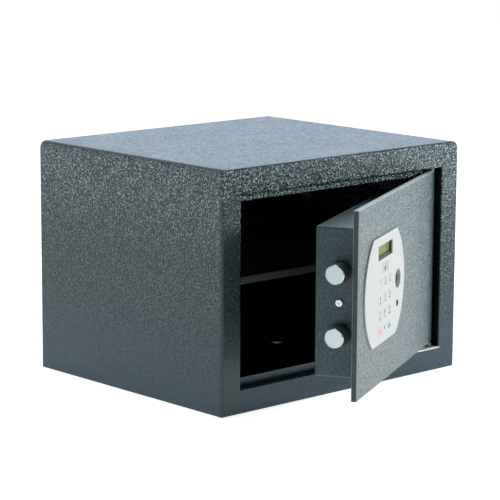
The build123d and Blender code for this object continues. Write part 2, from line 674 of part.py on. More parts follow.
def involute_point(roll, side):
    """Point of the tooth flank where the unwinding line has turned by roll, seen from the tooth axis."""
    flank_radius = BASE_RADIUS * math.hypot(1, roll)
    pressure = math.radians(GEAR_PRESSURE_ANGLE)
    half_angle = HALF_TOOTH / PITCH_RADIUS + math.tan(pressure) - pressure
    angle = side * (half_angle - (roll - math.atan(roll)))
    return (flank_radius * math.cos(angle), flank_radius * math.sin(angle))


with BuildSketch() as pinion_tooth:
    tip_roll = math.sqrt((TIP_RADIUS / BASE_RADIUS) ** 2 - 1)
    flank_low = [involute_point(tip_roll * step / 4, -1) for step in range(5)]
    flank_high = [involute_point(tip_roll * step / 4, 1) for step in range(5)]
    with BuildLine():
        Line((0, 0), flank_low[0])
        Spline(*flank_low)
        ThreePointArc(flank_low[-1], (TIP_RADIUS, 0), flank_high[-1])
        Spline(*flank_high)
        Line(flank_high[0], (0, 0))
    make_face()

# Pinion in one piece with its shaft, which runs in the gearbox.
PINION_TURN = 180.0 / GEAR_TEETH
SHAFT_FRONT = 2.0
SHAFT_LENGTH = 17.0
with BuildPart() as drive_pinion:
    with BuildSketch(face_at(GEAR_LOW_V)):
        with Locations((PINION_U, PINION_Z)):
            Circle(ROOT_RADIUS)
            with PolarLocations(0, GEAR_TEETH, start_angle=90 + PINION_TURN):
                add(pinion_tooth.sketch)
    extrude(amount=GEAR_HIGH_V - GEAR_LOW_V)
    with BuildSketch(face_at(GEAR_LOW_V - SHAFT_FRONT)):
        with Locations((PINION_U, PINION_Z)):
            Circle(PINION_SHAFT_RADIUS)
    extrude(amount=SHAFT_LENGTH)

# Channel behind the plate that carries the drive and the end switch.
with BuildPart() as lock_chassis:
    door_block(CHASSIS_U, CHASSIS_V, CHASSIS_Z)
    thick = CHASSIS_V[1] - CHASSIS_V[0]
    low_z, high_z = CHASSIS_Z
    door_block(CHASSIS_U, (DOOR_PLATE, CHASSIS_V[1]), (low_z - thick, low_z))
    door_block(CHASSIS_U, (DOOR_PLATE, CHASSIS_V[1]), (high_z, high_z + thick))
    foot_v = (DOOR_PLATE, DOOR_PLATE + thick)
    door_block(CHASSIS_U, foot_v, (low_z - CHASSIS_FOOT, low_z))
    door_block(CHASSIS_U, foot_v, (high_z, high_z + CHASSIS_FOOT))
    with BuildSketch(face_at(DOOR_PLATE)):
        with Locations(*CHASSIS_SCREWS):
            Circle(SCREW_RADIUS)
    extrude(amount=thick, mode=Mode.SUBTRACT)
    with BuildSketch(face_at(CHASSIS_V[0])):
        with Locations((PINION_U, PINION_Z)):
            Circle(CHASSIS_BORE_RADIUS)
        with Locations(CHASSIS_SLOT):
            SlotOverall(*CHASSIS_SLOT_SIZE)
    extrude(amount=thick, mode=Mode.SUBTRACT)

# Gearbox with the bore that the pinion's shaft turns in.
GEARBOX_U = (166.0, 198.0)
GEARBOX_V = (27.2, 46.0)
GEARBOX_Z = (98.0, 130.0)
MOTOR_V = 36.8
MOTOR_Z = 112.0
MOTOR_RADIUS = 9.0
MOTOR_LENGTH = 32.0
MOTOR_EDGE_RADIUS = 1.5
MOTOR_CAP_RADIUS = 3.5
MOTOR_CAP_LENGTH = 2.0
GEARBOX_CORNER_RADIUS = 2.5
SHAFT_BORE_DEPTH = 9.0
with BuildPart() as gearbox:
    door_block(GEARBOX_U, GEARBOX_V, GEARBOX_Z)
    fillet(edges().filter_by(Axis.Y), GEARBOX_CORNER_RADIUS)
    with BuildSketch(face_at(GEARBOX_V[0])):
        with Locations((PINION_U, PINION_Z)):
            Circle(PINION_SHAFT_RADIUS + HINGE_RUNNING_GAP)
    extrude(amount=SHAFT_BORE_DEPTH, mode=Mode.SUBTRACT)

# Round geared motor can with a flat terminal cap.
with BuildPart() as motor:
    with BuildSketch(side_at(GEARBOX_U[0])):
        with Locations((MOTOR_V, MOTOR_Z)):
            Circle(MOTOR_RADIUS)
    extrude(amount=MOTOR_LENGTH)
    fillet(edges().group_by(Axis.X)[-1], MOTOR_EDGE_RADIUS)
    with BuildSketch(side_at(GEARBOX_U[0] - MOTOR_LENGTH)):
        with Locations((MOTOR_V, MOTOR_Z)):
            Circle(MOTOR_CAP_RADIUS)
    extrude(amount=MOTOR_CAP_LENGTH)

# Small switch that senses the drawn-back bar.
SWITCH_U = (187.0, 200.0)
SWITCH_V = (17.0, CHASSIS_V[0])
SWITCH_Z = (142.0, 149.0)
PLUNGER_RADIUS = 1.2
PLUNGER_LENGTH = 1.5
with BuildPart() as limit_switch:
    door_block(SWITCH_U, SWITCH_V, SWITCH_Z)
    with BuildSketch(side_at(SWITCH_U[1])):
        with Locations((sum(SWITCH_V) / 2, sum(SWITCH_Z) / 2)):
            Circle(PLUNGER_RADIUS)
    extrude(amount=-PLUNGER_LENGTH)

# Screws that hold the chassis, the guide and the clips to the plate.
CHASSIS_SCREW = (2.8, 1.9, SCREW_RADIUS, 5.0)
CLIP_SCREW = (2.8, 1.9, SCREW_RADIUS, 5.4)
plate_screw_set = []
for centre in CHASSIS_SCREWS:
    head_plane = face_at(DOOR_PLATE + CHASSIS_V[1] - CHASSIS_V[0])
    plate_screw_set.append(pan_screw(head_plane, centre, *CHASSIS_SCREW))
for centre in GUIDE_SCREWS + BRACKET_SCREWS:
    plate_screw_set.append(pan_screw(face_at(DOOR_PLATE + CLIP_SHEET), centre, *CLIP_SCREW))
with BuildPart() as plate_screws:
    add(plate_screw_set)

# ---------------------------------------------------------------- electronics
BOARD_U = (30.0, 130.0)
BOARD_Z = (72.0, 182.0)
BOARD_V = (10.0, 11.6)
BOARD_POSTS = [(u, z) for u in (36.0, 124.0) for z in (78.0, 176.0)]
POST_RADIUS = 3.0
POST_HEAD_RADIUS = 2.8
POST_HEAD_HEIGHT = 1.8

# Components on the main board: range of u, height over the board and range of z.
RIBBON_SOCKET = ((118.0, 126.0), 5.4, (94.0, 114.0))
MOTOR_SOCKET = ((116.0, 124.0), 4.4, (118.0, 128.0))
CONTROLLER = ((60.0, 80.0), 2.4, (150.0, 170.0))
BATTERY_SOCKET = ((88.0, 96.0), 3.4, (78.0, 90.0))
BOARD_PARTS = (RIBBON_SOCKET, MOTOR_SOCKET, CONTROLLER, BATTERY_SOCKET)
CAPACITORS = ((50.0, 84.0), (64.0, 84.0))
CAPACITOR_RADIUS = 4.0
CAPACITOR_HEIGHT = 9.0

# Main circuit board with its connectors and larger components.
with BuildPart() as circuit_board:
    door_block(BOARD_U, BOARD_V, BOARD_Z)
    with BuildSketch(face_at(BOARD_V[0])):
        with Locations(*BOARD_POSTS):
            Circle(SCREW_RADIUS)
    extrude(amount=BOARD_V[1] - BOARD_V[0], mode=Mode.SUBTRACT)
    for u_range, height, z_range in BOARD_PARTS:
        door_block(u_range, (BOARD_V[1], BOARD_V[1] + height), z_range)
    with BuildSketch(face_at(BOARD_V[1])):
        with Locations(*CAPACITORS):
            Circle(CAPACITOR_RADIUS)
    extrude(amount=CAPACITOR_HEIGHT)

# Posts between the plate and the board, with their screws moulded on.
with BuildPart() as board_standoffs:
    with BuildSketch(face_at(DOOR_PLATE)):
        with Locations(*BOARD_POSTS):
            Circle(POST_RADIUS)
    extrude(amount=BOARD_V[0] - DOOR_PLATE)
    with BuildSketch(face_at(DOOR_PLATE)):
        with Locations(*BOARD_POSTS):
            Circle(SCREW_RADIUS)
    extrude(amount=BOARD_V[1] - DOOR_PLATE)
    with BuildSketch(face_at(BOARD_V[1])):
        with Locations(*BOARD_POSTS):
            Circle(POST_HEAD_RADIUS)
    extrude(amount=POST_HEAD_HEIGHT)

# Battery box: a tray through the cover with an outside flange and two rails for its lid.
TRAY_WALL = 1.2
TRAY_FLOOR_V = 31.0
FLANGE_V = (COVER_BACK_V, COVER_BACK_V + 1.0)
FLANGE_U = (BAY_LOW_U - 5, BAY_HIGH_U + LID_TRAVEL + 6)
FLANGE_Z = (BAY_LOW_Z - 6, BAY_HIGH_Z + 6)
RAIL_TOP_V = FLANGE_V[1] + 2.4
RAIL_WALL = 1.6
RAIL_HOOK = 1.2
HOOK_THICK = 0.9
END_STOP = 1.4
with BuildPart() as battery_holder:
    door_block(
        (BAY_LOW_U - TRAY_WALL, BAY_HIGH_U + TRAY_WALL),
        (TRAY_FLOOR_V, COVER_BACK_V),
        (BAY_LOW_Z - TRAY_WALL, BAY_HIGH_Z + TRAY_WALL),
    )
    door_block(FLANGE_U, FLANGE_V, FLANGE_Z)
    door_block(
        (BAY_LOW_U, BAY_HIGH_U),
        (TRAY_FLOOR_V + TRAY_WALL, FLANGE_V[1] + 1),
        (BAY_LOW_Z, BAY_HIGH_Z),
        mode=Mode.SUBTRACT,
    )
    hook_v = (RAIL_TOP_V - HOOK_THICK, RAIL_TOP_V)
    rail_v = (FLANGE_V[1], RAIL_TOP_V)
    low_z, high_z = FLANGE_Z
    door_block(FLANGE_U, rail_v, (low_z, low_z + RAIL_WALL))
    door_block(FLANGE_U, rail_v, (high_z - RAIL_WALL, high_z))
    door_block(FLANGE_U, hook_v, (low_z, low_z + RAIL_WALL + RAIL_HOOK))
    door_block(FLANGE_U, hook_v, (high_z - RAIL_WALL - RAIL_HOOK, high_z))
    door_block((FLANGE_U[0], FLANGE_U[0] + END_STOP), rail_v, FLANGE_Z)

# Sliding lid of the battery box, with finger ribs.
LID_GAP = 0.3
LID_V = (FLANGE_V[1] + 0.2, FLANGE_V[1] + 1.3)
LID_U = (BAY_LOW_U - 3, BAY_HIGH_U + 4)
LID_Z = (FLANGE_Z[0] + RAIL_WALL + LID_GAP, FLANGE_Z[1] - RAIL_WALL - LID_GAP)
LID_CORNER_RADIUS = 1.0
RIB_COUNT = 5
RIB_PITCH = 3.0
RIB_WIDTH = 1.2
RIB_HEIGHT = 0.8
RIB_FIRST = 8.0
RIB_Z = (118.0, 138.0)
with BuildPart() as battery_lid:
    door_block(LID_U, LID_V, LID_Z)
    for rib in range(RIB_COUNT):
        rib_u = LID_U[1] - RIB_FIRST - RIB_PITCH * rib
        door_block((rib_u - RIB_WIDTH, rib_u), (LID_V[1], LID_V[1] + RIB_HEIGHT), RIB_Z)
    fillet(edges().filter_by(Axis.Y).group_by(Axis.X)[0], LID_CORNER_RADIUS)

# Four cells side by side.
CELL_COUNT = 4
CELL_FLOOR_GAP = 0.2
CELL_TIP_RADIUS = 2.7
CELL_TIP = 1.2
CELL_BASE_U = (BAY_LOW_U + BAY_HIGH_U + BATTERY_LENGTH) / 2
with BuildPart() as batteries:
    bay_mid_z = (BAY_LOW_Z + BAY_HIGH_Z) / 2
    cell_v = TRAY_FLOOR_V + TRAY_WALL + BATTERY_RADIUS + CELL_FLOOR_GAP
    for cell in range(CELL_COUNT):
        cell_z = bay_mid_z + (cell - (CELL_COUNT - 1) / 2) * BATTERY_PITCH
        with BuildSketch(side_at(CELL_BASE_U)):
            with Locations((cell_v, cell_z)):
                Circle(BATTERY_RADIUS)
        extrude(amount=BATTERY_LENGTH - CELL_TIP)
        with BuildSketch(side_at(CELL_BASE_U - BATTERY_LENGTH + CELL_TIP)):
            with Locations((cell_v, cell_z)):
                Circle(CELL_TIP_RADIUS)
        extrude(amount=CELL_TIP)

# Switch body behind the cover and the button that works it.
RESET_HALF = 6.0
RESET_BODY_V = 39.0
RESET_BORE_V = 40.4
RESET_STEM_V = 42.3
RESET_PROUD = 2.2
RESET_EDGE_RADIUS = 0.6
with BuildPart() as reset_switch:
    reset_u = (RESET_U - RESET_HALF, RESET_U + RESET_HALF)
    reset_z = (RESET_Z - RESET_HALF, RESET_Z + RESET_HALF)
    door_block(reset_u, (RESET_BODY_V, COVER_INNER_V), reset_z)
    with BuildSketch(face_at(RESET_BORE_V)):
        with Locations((RESET_U, RESET_Z)):
            Circle(RESET_RADIUS + RESET_GAP)
    extrude(amount=COVER_INNER_V - RESET_BORE_V, mode=Mode.SUBTRACT)

with BuildPart() as reset_button:
    with BuildSketch(face_at(RESET_STEM_V)):
        with Locations((RESET_U, RESET_Z)):
            Circle(RESET_RADIUS)
    extrude(amount=COVER_BACK_V + RESET_PROUD - RESET_STEM_V)
    fillet(edges().group_by(Axis.Y)[-1], RESET_EDGE_RADIUS)

# ---------------------------------------------------------------- keypad panel


def key_centre(row, column):
    """Centre of a key in door coordinates; column 0 is the left one."""
    return (FASCIA_U + (1 - column) * KEY_PITCH_U, KEY_TOP_Z - row * KEY_PITCH_Z)


KEY_CENTRES = [key_centre(row, column) for row in range(4) for column in range(3)]

FASCIA_CORNER_RADIUS = 0.8
FASCIA_EDGE_RADIUS = 0.5
FASCIA_THREAD = 1.0
KEY_CORNER_RADIUS = 2.0

# Thin light panel with bulging sides.
with BuildPart() as keypad_fascia:
    with BuildSketch(face_at(-FASCIA_THICK)):
        half = FASCIA_HEIGHT / 2
        with BuildLine(mode=Mode.PRIVATE) as fascia_edge:
            low_left = (FASCIA_U + FASCIA_END_HALF, FASCIA_Z - half)
            high_left = (FASCIA_U + FASCIA_END_HALF, FASCIA_Z + half)
            low_right = (FASCIA_U - FASCIA_END_HALF, FASCIA_Z - half)
            high_right = (FASCIA_U - FASCIA_END_HALF, FASCIA_Z + half)
            ThreePointArc(low_left, (FASCIA_U + FASCIA_MID_HALF, FASCIA_Z), high_left)
            Line(high_left, high_right)
            ThreePointArc(high_right, (FASCIA_U - FASCIA_MID_HALF, FASCIA_Z), low_right)
            Line(low_right, low_left)
        make_face(fascia_edge.line)
        fillet(vertices(), FASCIA_CORNER_RADIUS)
    extrude(amount=FASCIA_THICK)
    fillet(faces().sort_by(Axis.Y)[0].edges(), FASCIA_EDGE_RADIUS)
    with BuildSketch(face_at(-FASCIA_THICK)):
        with Locations((LCD_U, LCD_Z)):
            Rectangle(LCD_WIDTH, LCD_HEIGHT)
        with Locations((SENSOR_U, SENSOR_Z)):
            Circle(SENSOR_RADIUS)
        with Locations((PORT_U, PORT_Z)):
            Circle(PORT_RADIUS)
        with Locations(*KEY_CENTRES):
            RectangleRounded(KEY_WIDTH + 2 * KEY_GAP, KEY_HEIGHT + 2 * KEY_GAP, KEY_CORNER_RADIUS + KEY_GAP)
    extrude(amount=FASCIA_THICK, mode=Mode.SUBTRACT)
    with BuildSketch(face_at(0)):
        with Locations(*FASCIA_SCREWS):
            Circle(SCREW_RADIUS)
    extrude(amount=-FASCIA_THREAD, mode=Mode.SUBTRACT)

FASCIA_SCREW = (2.6, 1.8, SCREW_RADIUS, DOOR_PLATE + FASCIA_THREAD)
fascia_screw_set = []
for centre in FASCIA_SCREWS:
    fascia_screw_set.append(pan_screw(face_at(DOOR_PLATE), centre, *FASCIA_SCREW))
with BuildPart() as fascia_screws:
    add(fascia_screw_set)


def pressed_key(centre):
    """Flat key: a rounded cap level with the panel and a thin flange that keeps it in."""
    with BuildPart() as key:
        with BuildSketch(face_at(-FASCIA_THICK)):
            with Locations(centre):
                RectangleRounded(KEY_WIDTH, KEY_HEIGHT, KEY_CORNER_RADIUS)
        extrude(amount=FASCIA_THICK + KEY_FLANGE_GAP)
        with BuildSketch(face_at(KEY_FLANGE_GAP)):
            with Locations(centre):
                Rectangle(KEY_WIDTH + 2 * KEY_FLANGE, KEY_HEIGHT + 2 * KEY_FLANGE)
        extrude(amount=KEY_FLANGE_THICK)
    return key


keys = {}
for row, names in enumerate(KEY_NAMES):
    for column, name in enumerate(names):
        keys[name] = pressed_key(key_centre(row, column))

# Sheet of snap domes under the keys, and the board that reads them.
KEYPAD_U = (171.5, 228.5)
KEYPAD_Z = (79.5, 146.5)
DOME_MAT_V = (1.7, 2.2)
DOME_HEIGHT = 0.2
DOME_RADIUS = 3.2
KEYPAD_BOARD_V = (2.2, 3.8)
KEYPAD_SOCKET_U = (178.0, 186.0)
KEYPAD_SOCKET_V = (KEYPAD_BOARD_V[1], 8.0)
with BuildPart() as key_dome_mat:
    door_block(KEYPAD_U, DOME_MAT_V, KEYPAD_Z)
    with BuildSketch(face_at(DOME_MAT_V[0] - DOME_HEIGHT)):
        with Locations(*KEY_CENTRES):
            Circle(DOME_RADIUS)
    extrude(amount=DOME_HEIGHT)

with BuildPart() as keypad_board:
    door_block(KEYPAD_U, KEYPAD_BOARD_V, KEYPAD_Z)
    door_block(KEYPAD_SOCKET_U, KEYPAD_SOCKET_V, RIBBON_SOCKET[2])

# Display: dark bezel behind the panel's window, with a ridged sill, then the clear window and the
# display module.
BEZEL_WALL = 0.6
BEZEL_BACK_HALF_WIDTH = 28.6
BEZEL_BACK_HALF_HEIGHT = 9.6
BEZEL_SILL = 3.0
SILL_RIDGE_Z = (1.1, 1.9)
SILL_RIDGE_HEIGHT = 0.5
SILL_CHAMFER = 1.0
GLASS_THICK = 1.0
MODULE_THICK = 4.0
window_half = LCD_WIDTH / 2 - BEZEL_WALL
window_low_z = LCD_Z - LCD_HEIGHT / 2 + BEZEL_SILL
window_high_z = LCD_Z + LCD_HEIGHT / 2 - BEZEL_WALL
with BuildPart() as lcd_bezel:
    with BuildSketch(face_at(0)):
        with Locations((LCD_U, LCD_Z)):
            Rectangle(2 * BEZEL_BACK_HALF_WIDTH, 2 * BEZEL_BACK_HALF_HEIGHT)
    extrude(amount=LCD_DEPTH)
    door_block(
        (LCD_U - window_half, LCD_U + window_half),
        (0, LCD_DEPTH),
        (window_low_z, window_high_z),
        mode=Mode.SUBTRACT,
    )
    sill_edges = edges().filter_by(Axis.X).group_by(Axis.Y)[0].sort_by(Axis.Z)[1]
    chamfer(sill_edges, SILL_CHAMFER)
    ridge_low = LCD_Z - LCD_HEIGHT / 2 + SILL_RIDGE_Z[0]
    ridge_high = LCD_Z - LCD_HEIGHT / 2 + SILL_RIDGE_Z[1]
    ridge_v = (-SILL_RIDGE_HEIGHT, 0)
    door_block((LCD_U - window_half, LCD_U + window_half), ridge_v, (ridge_low, ridge_high))

with BuildPart() as lcd_glass:
    with BuildSketch(face_at(LCD_DEPTH)):
        with Locations((LCD_U, LCD_Z)):
            Rectangle(2 * BEZEL_BACK_HALF_WIDTH, 2 * BEZEL_BACK_HALF_HEIGHT)
    extrude(amount=GLASS_THICK)

with BuildPart() as lcd_module:
    with BuildSketch(face_at(LCD_DEPTH + GLASS_THICK)):
        with Locations((LCD_U, LCD_Z)):
            Rectangle(2 * BEZEL_BACK_HALF_WIDTH, 2 * BEZEL_BACK_HALF_HEIGHT)
    extrude(amount=MODULE_THICK)

# Round finger dish: a sloping ring around the sensor window.
SENSOR_RIM = 0.8
DISH_FLOOR_V = 0.9
BEZEL_REAR_V = 4.0
SENSOR_WINDOW_V = (1.2, 6.0)
with BuildPart() as sensor_bezel:
    with BuildSketch(level_at(SENSOR_Z)):
        with BuildLine():
            Polyline(
                (SENSOR_U + SENSOR_RADIUS, -FASCIA_THICK),
                (SENSOR_U + SENSOR_RADIUS, BEZEL_REAR_V),
                (SENSOR_U + SENSOR_WINDOW_RADIUS, BEZEL_REAR_V),
                (SENSOR_U + SENSOR_WINDOW_RADIUS, DISH_FLOOR_V),
                (SENSOR_U + SENSOR_RADIUS - SENSOR_RIM, -FASCIA_THICK),
                close=True,
            )
        make_face()
    revolve(axis=Axis((DOOR_RIGHT_X - SENSOR_U, 0, SENSOR_Z), (0, 1, 0)))

with BuildPart() as sensor_window:
    with BuildSketch(face_at(SENSOR_WINDOW_V[0])):
        with Locations((SENSOR_U, SENSOR_Z)):
            Circle(SENSOR_WINDOW_RADIUS)
    extrude(amount=SENSOR_WINDOW_V[1] - SENSOR_WINDOW_V[0])

# Round socket under the finger dish, with a contact pin in its bore.
PORT_RECESS = 0.1
PORT_FLOOR = 2.0
PIN_RECESS = 1.5
with BuildPart() as service_port:
    with BuildSketch(face_at(-FASCIA_THICK + PORT_RECESS)):
        with Locations((PORT_U, PORT_Z)):
            Circle(PORT_RADIUS)
            Circle(PORT_BORE_RADIUS, mode=Mode.SUBTRACT)
    extrude(amount=PORT_DEPTH)
    with BuildSketch(face_at(PORT_DEPTH - FASCIA_THICK + PORT_RECESS)):
        with Locations((PORT_U, PORT_Z)):
            Circle(PORT_RADIUS)
    extrude(amount=-PORT_FLOOR)
    with BuildSketch(face_at(-FASCIA_THICK + PIN_RECESS)):
        with Locations((PORT_U, PORT_Z)):
            Circle(PORT_PIN_RADIUS)
    extrude(amount=PORT_DEPTH - PIN_RECESS)

# ---------------------------------------------------------------- wiring inside the lock case
RIBBON_THICK = 0.6
RIBBON_Z = (97.0, 111.0)
RIBBON_BEND = 2.5
RIBBON_ROUTE = ((182, 8), (182, 13.5), (145, 14.0), (130, 20.5), (122, 20.5), (122, 17))

# Flat cable from the keypad board, between the plate and the drive, to the main board.
with BuildPart() as ribbon_cable:
    with BuildSketch(level_at(RIBBON_Z[1])):
        with BuildLine(mode=Mode.PRIVATE) as ribbon_path:
            FilletPolyline(*RIBBON_ROUTE, radius=RIBBON_BEND)
        trace(ribbon_path.line, RIBBON_THICK)
    extrude(amount=RIBBON_Z[1] - RIBBON_Z[0])

# Leads from the motor and from the battery box to the main board.
LEAD_RADIUS = 0.6
LEAD_SPREAD = (-1.5, 1.5)
MOTOR_LEAD_BEND = 3.0
BATTERY_LEAD_BEND = 2.5


def lead(points, radius):
    """Round insulated wire along straight runs joined by tangent arcs, in (u, v, z) points."""
    places = [(DOOR_RIGHT_X - u, DOOR_FRONT_Y + v, z) for u, v, z in points]
    with BuildPart() as wire:
        with BuildLine() as path:
            FilletPolyline(*places, radius=radius)
        with BuildSketch(Plane(origin=path.line @ 0, z_dir=path.line % 0)):
            Circle(LEAD_RADIUS)
        sweep()
    return wire.part


motor_end_u = GEARBOX_U[0] - MOTOR_LENGTH - MOTOR_CAP_LENGTH
lead_set = []
for offset_z in LEAD_SPREAD:
    lead_set.append(
        lead(
            [
                (motor_end_u, MOTOR_V, MOTOR_Z + offset_z),
                (120 + offset_z, MOTOR_V, MOTOR_Z + offset_z),
                (120 + offset_z, 24, 123 + offset_z),
                (120 + offset_z, 16, 123 + offset_z),
            ],
            MOTOR_LEAD_BEND,
        )
    )
for offset_z in LEAD_SPREAD:
    lead_set.append(
        lead(
            [
                (92 + offset_z, TRAY_FLOOR_V, 100.5),
                (92 + offset_z, 24, 100.5),
                (92 + offset_z, 21, 84),
                (92 + offset_z, 15, 84),
            ],
            BATTERY_LEAD_BEND,
        )
    )
with BuildPart() as wiring:
    add(lead_set)

# ---------------------------------------------------------------- labels and files
cabinet_pieces = {
    "body_wrap": body_wrap,
    "floor_plate": floor_plate,
    "back_plate": back_plate,
    "front_frame": front_frame,
    "stop_lip": stop_lip,
    "hinge_brackets": hinge_brackets,
    "hinge_washers": hinge_washers,
    "shelf": shelf,
    "shelf_brackets": shelf_brackets,
    "floor_mat": floor_mat,
}
door_pieces = {
    "door_plate": door_plate,
    "hinge_pins": hinge_pins,
    "lock_cover": lock_cover,
    "cover_brackets": cover_brackets,
    "cover_screws": cover_screws,
    "bolt_bushes": bolt_bushes,
    "bolt_guide": bolt_guide,
    "lock_chassis": lock_chassis,
    "plate_screws": plate_screws,
    "gearbox": gearbox,
    "motor": motor,
    "limit_switch": limit_switch,
    "circuit_board": circuit_board,
    "board_standoffs": board_standoffs,
    "battery_holder": battery_holder,
    "batteries": batteries,
    "reset_switch": reset_switch,
    "keypad_fascia": keypad_fascia,
    "fascia_screws": fascia_screws,
    "key_dome_mat": key_dome_mat,
    "keypad_board": keypad_board,
    "lcd_bezel": lcd_bezel,
    "lcd_glass": lcd_glass,
    "lcd_module": lcd_module,
    "sensor_bezel": sensor_bezel,
    "sensor_window": sensor_window,
    "service_port": service_port,
    "ribbon_cable": ribbon_cable,
    "wiring": wiring,
    "bolt_upper": bolt_upper,
    "bolt_lower": bolt_lower,
    "bolt_bar": bolt_bar,
    "bolt_rack": bolt_rack,
    "bolt_screws": bolt_screws,
    "drive_pinion": drive_pinion,
    "battery_lid": battery_lid,
    "reset_button": reset_button,
    **keys,
}

for piece in door_pieces.values():
    piece.part = piece.part.rotate(HINGE_AXIS, REST_OPENING)

for label, piece in {**cabinet_pieces, **door_pieces}.items():
    piece.part.label = label
    export_step(piece.part, f"parts/{label}.step")
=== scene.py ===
import json
import math

import bmesh
import bpy
from mathutils import Matrix, Vector


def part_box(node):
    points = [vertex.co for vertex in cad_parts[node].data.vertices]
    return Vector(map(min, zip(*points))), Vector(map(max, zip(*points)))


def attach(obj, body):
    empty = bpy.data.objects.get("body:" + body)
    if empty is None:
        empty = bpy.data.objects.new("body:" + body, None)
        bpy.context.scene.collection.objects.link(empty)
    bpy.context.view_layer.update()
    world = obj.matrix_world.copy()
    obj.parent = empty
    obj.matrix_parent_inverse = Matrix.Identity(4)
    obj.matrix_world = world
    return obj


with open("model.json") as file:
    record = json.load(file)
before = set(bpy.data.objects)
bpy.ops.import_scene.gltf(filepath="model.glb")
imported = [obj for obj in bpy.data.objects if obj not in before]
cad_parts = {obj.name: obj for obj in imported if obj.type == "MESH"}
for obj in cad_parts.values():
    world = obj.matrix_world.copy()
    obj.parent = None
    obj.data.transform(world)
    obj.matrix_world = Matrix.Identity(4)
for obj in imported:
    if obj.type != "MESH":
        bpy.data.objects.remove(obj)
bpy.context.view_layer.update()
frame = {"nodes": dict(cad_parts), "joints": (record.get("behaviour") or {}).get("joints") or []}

# In room safe: materials, small printed pieces, floor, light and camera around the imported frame.
# Lengths are metres, or millimetres times MM: +X right seen from the front, +Y into the cabinet, +Z up.
MM = 0.001
RIGHT = (1.0, 0.0, 0.0)
INWARD = (0.0, 1.0, 0.0)
UP = (0.0, 0.0, 1.0)
# Sockets of a colour mix node: its factor, its two colours and the colour that it gives.
MIX_FACTOR = 0
MIX_FIRST = 6
MIX_SECOND = 7
MIX_RESULT = 2
nodes = frame["nodes"]
joint_named = {joint["name"]: joint for joint in frame["joints"]}

# ---------------------------------------------------------------- door coordinates
# u runs leftwards from the door plate's right edge and v back from its face, as the door stands open.
HINGE_INSET = 5.6 * MM
PLATE_HALF = 3.0 * MM
DOOR_LEFT = Vector(joint_named["bolt_slide"]["axis"])
DOOR_BACK = Vector((DOOR_LEFT.y, -DOOR_LEFT.x, 0.0))
HINGE = Vector((*joint_named["door_hinge"]["pos_m"][:2], 0.0))


def door_point(u, v, z):
    """Place of a point given in the door's own millimetres."""
    across = DOOR_LEFT * (u * MM - HINGE_INSET)
    return HINGE + across + DOOR_BACK * (v * MM - PLATE_HALF) + Vector((0.0, 0.0, z * MM))


def facing_out(u, v, z):
    """Matrix of a flat print on the door: local x reads left to right, y is up, z stands off the face."""
    axes = Matrix((-DOOR_LEFT, Vector(UP), -DOOR_BACK)).transposed()
    return Matrix.Translation(door_point(u, v, z)) @ axes.to_4x4()


# ---------------------------------------------------------------- camera
CAMERA_AZIMUTH = -42.68
CAMERA_ELEVATION = 10.42
CAMERA_ROLL = 0.31
CAMERA_PLACE = Vector((-1.6310, -1.7658, 0.5774))
CAMERA_LENS = 158.46
CAMERA_SENSOR = 36.0
CAMERA_SHIFT = (0.0053, -0.0049)
CAMERA_CLIP = (0.05, 60.0)


def camera_turn():
    """Rotation of the camera from its azimuth, elevation and roll in degrees."""
    azimuth = math.radians(CAMERA_AZIMUTH)
    elevation = math.radians(CAMERA_ELEVATION)
    roll = math.radians(CAMERA_ROLL)
    level = math.cos(elevation)
    back = Vector((math.sin(azimuth) * level, -math.cos(azimuth) * level, math.sin(elevation)))
    right = (-back).cross(Vector(UP)).normalized()
    up = right.cross(-back)
    rolled_right = right * math.cos(roll) + up * math.sin(roll)
    rolled_up = up * math.cos(roll) - right * math.sin(roll)
    return Matrix((rolled_right, rolled_up, back)).transposed().to_4x4()


def make_camera():
    """Long lens from the front left, a little above the top of the cabinet."""
    data = bpy.data.cameras.new("camera")
    data.sensor_width = CAMERA_SENSOR
    data.lens = CAMERA_LENS
    data.shift_x, data.shift_y = CAMERA_SHIFT
    data.clip_start, data.clip_end = CAMERA_CLIP
    camera = bpy.data.objects.new("camera", data)
    camera.matrix_world = Matrix.Translation(CAMERA_PLACE) @ camera_turn()
    bpy.context.scene.collection.objects.link(camera)
    bpy.context.scene.camera = camera


# ---------------------------------------------------------------- light
# The walls are a gradient along BRIGHT_WALL's direction, from one (place, colour) stop to the other.
BRIGHT_WALL = (0.72, 0.69, 0.0)
DIM_SIDE = (0.05, (0.13, 0.14, 0.155))
BRIGHT_SIDE = (0.80, (0.74, 0.86, 1.0))
WALL_TOP = (0.42, (1.0, 1.0, 1.0))
CEILING = (0.70, (0.05, 0.055, 0.06))
WALL_STRENGTH = 1.5

KEY = {
    "place": (1.3, -1.3, 0.62),
    "target": (0.0, -0.1, 0.15),
    "side": 0.22,
    "power": 24.0,
    "colour": (0.93, 0.99, 1.0),
}
BACKLIGHT = {
    "place": (-1.25, 1.15, 0.55),
    "target": (-0.17, 0.0, 0.15),
    "side": 0.2,
    "power": 6.5,
    "colour": (0.95, 0.98, 1.0),
}
OVERHEAD = {
    "place": (0.0, 0.1, 1.6),
    "target": (0.0, 0.0, 0.2),
    "side": 0.9,
    "power": 15.0,
    "colour": (0.95, 0.98, 1.0),
}


def area_light(name, place, target, side, power, colour):
    """Square lamp at a place, aimed at a target."""
    data = bpy.data.lights.new(name, "AREA")
    data.shape = "RECTANGLE"
    data.size = side
    data.size_y = side
    data.energy = power
    data.color = colour
    light = bpy.data.objects.new(name, data)
    light.location = place
    light.rotation_mode = "QUATERNION"
    light.rotation_quaternion = (Vector(target) - Vector(place)).to_track_quat("-Z", "Y")
    bpy.context.scene.collection.objects.link(light)


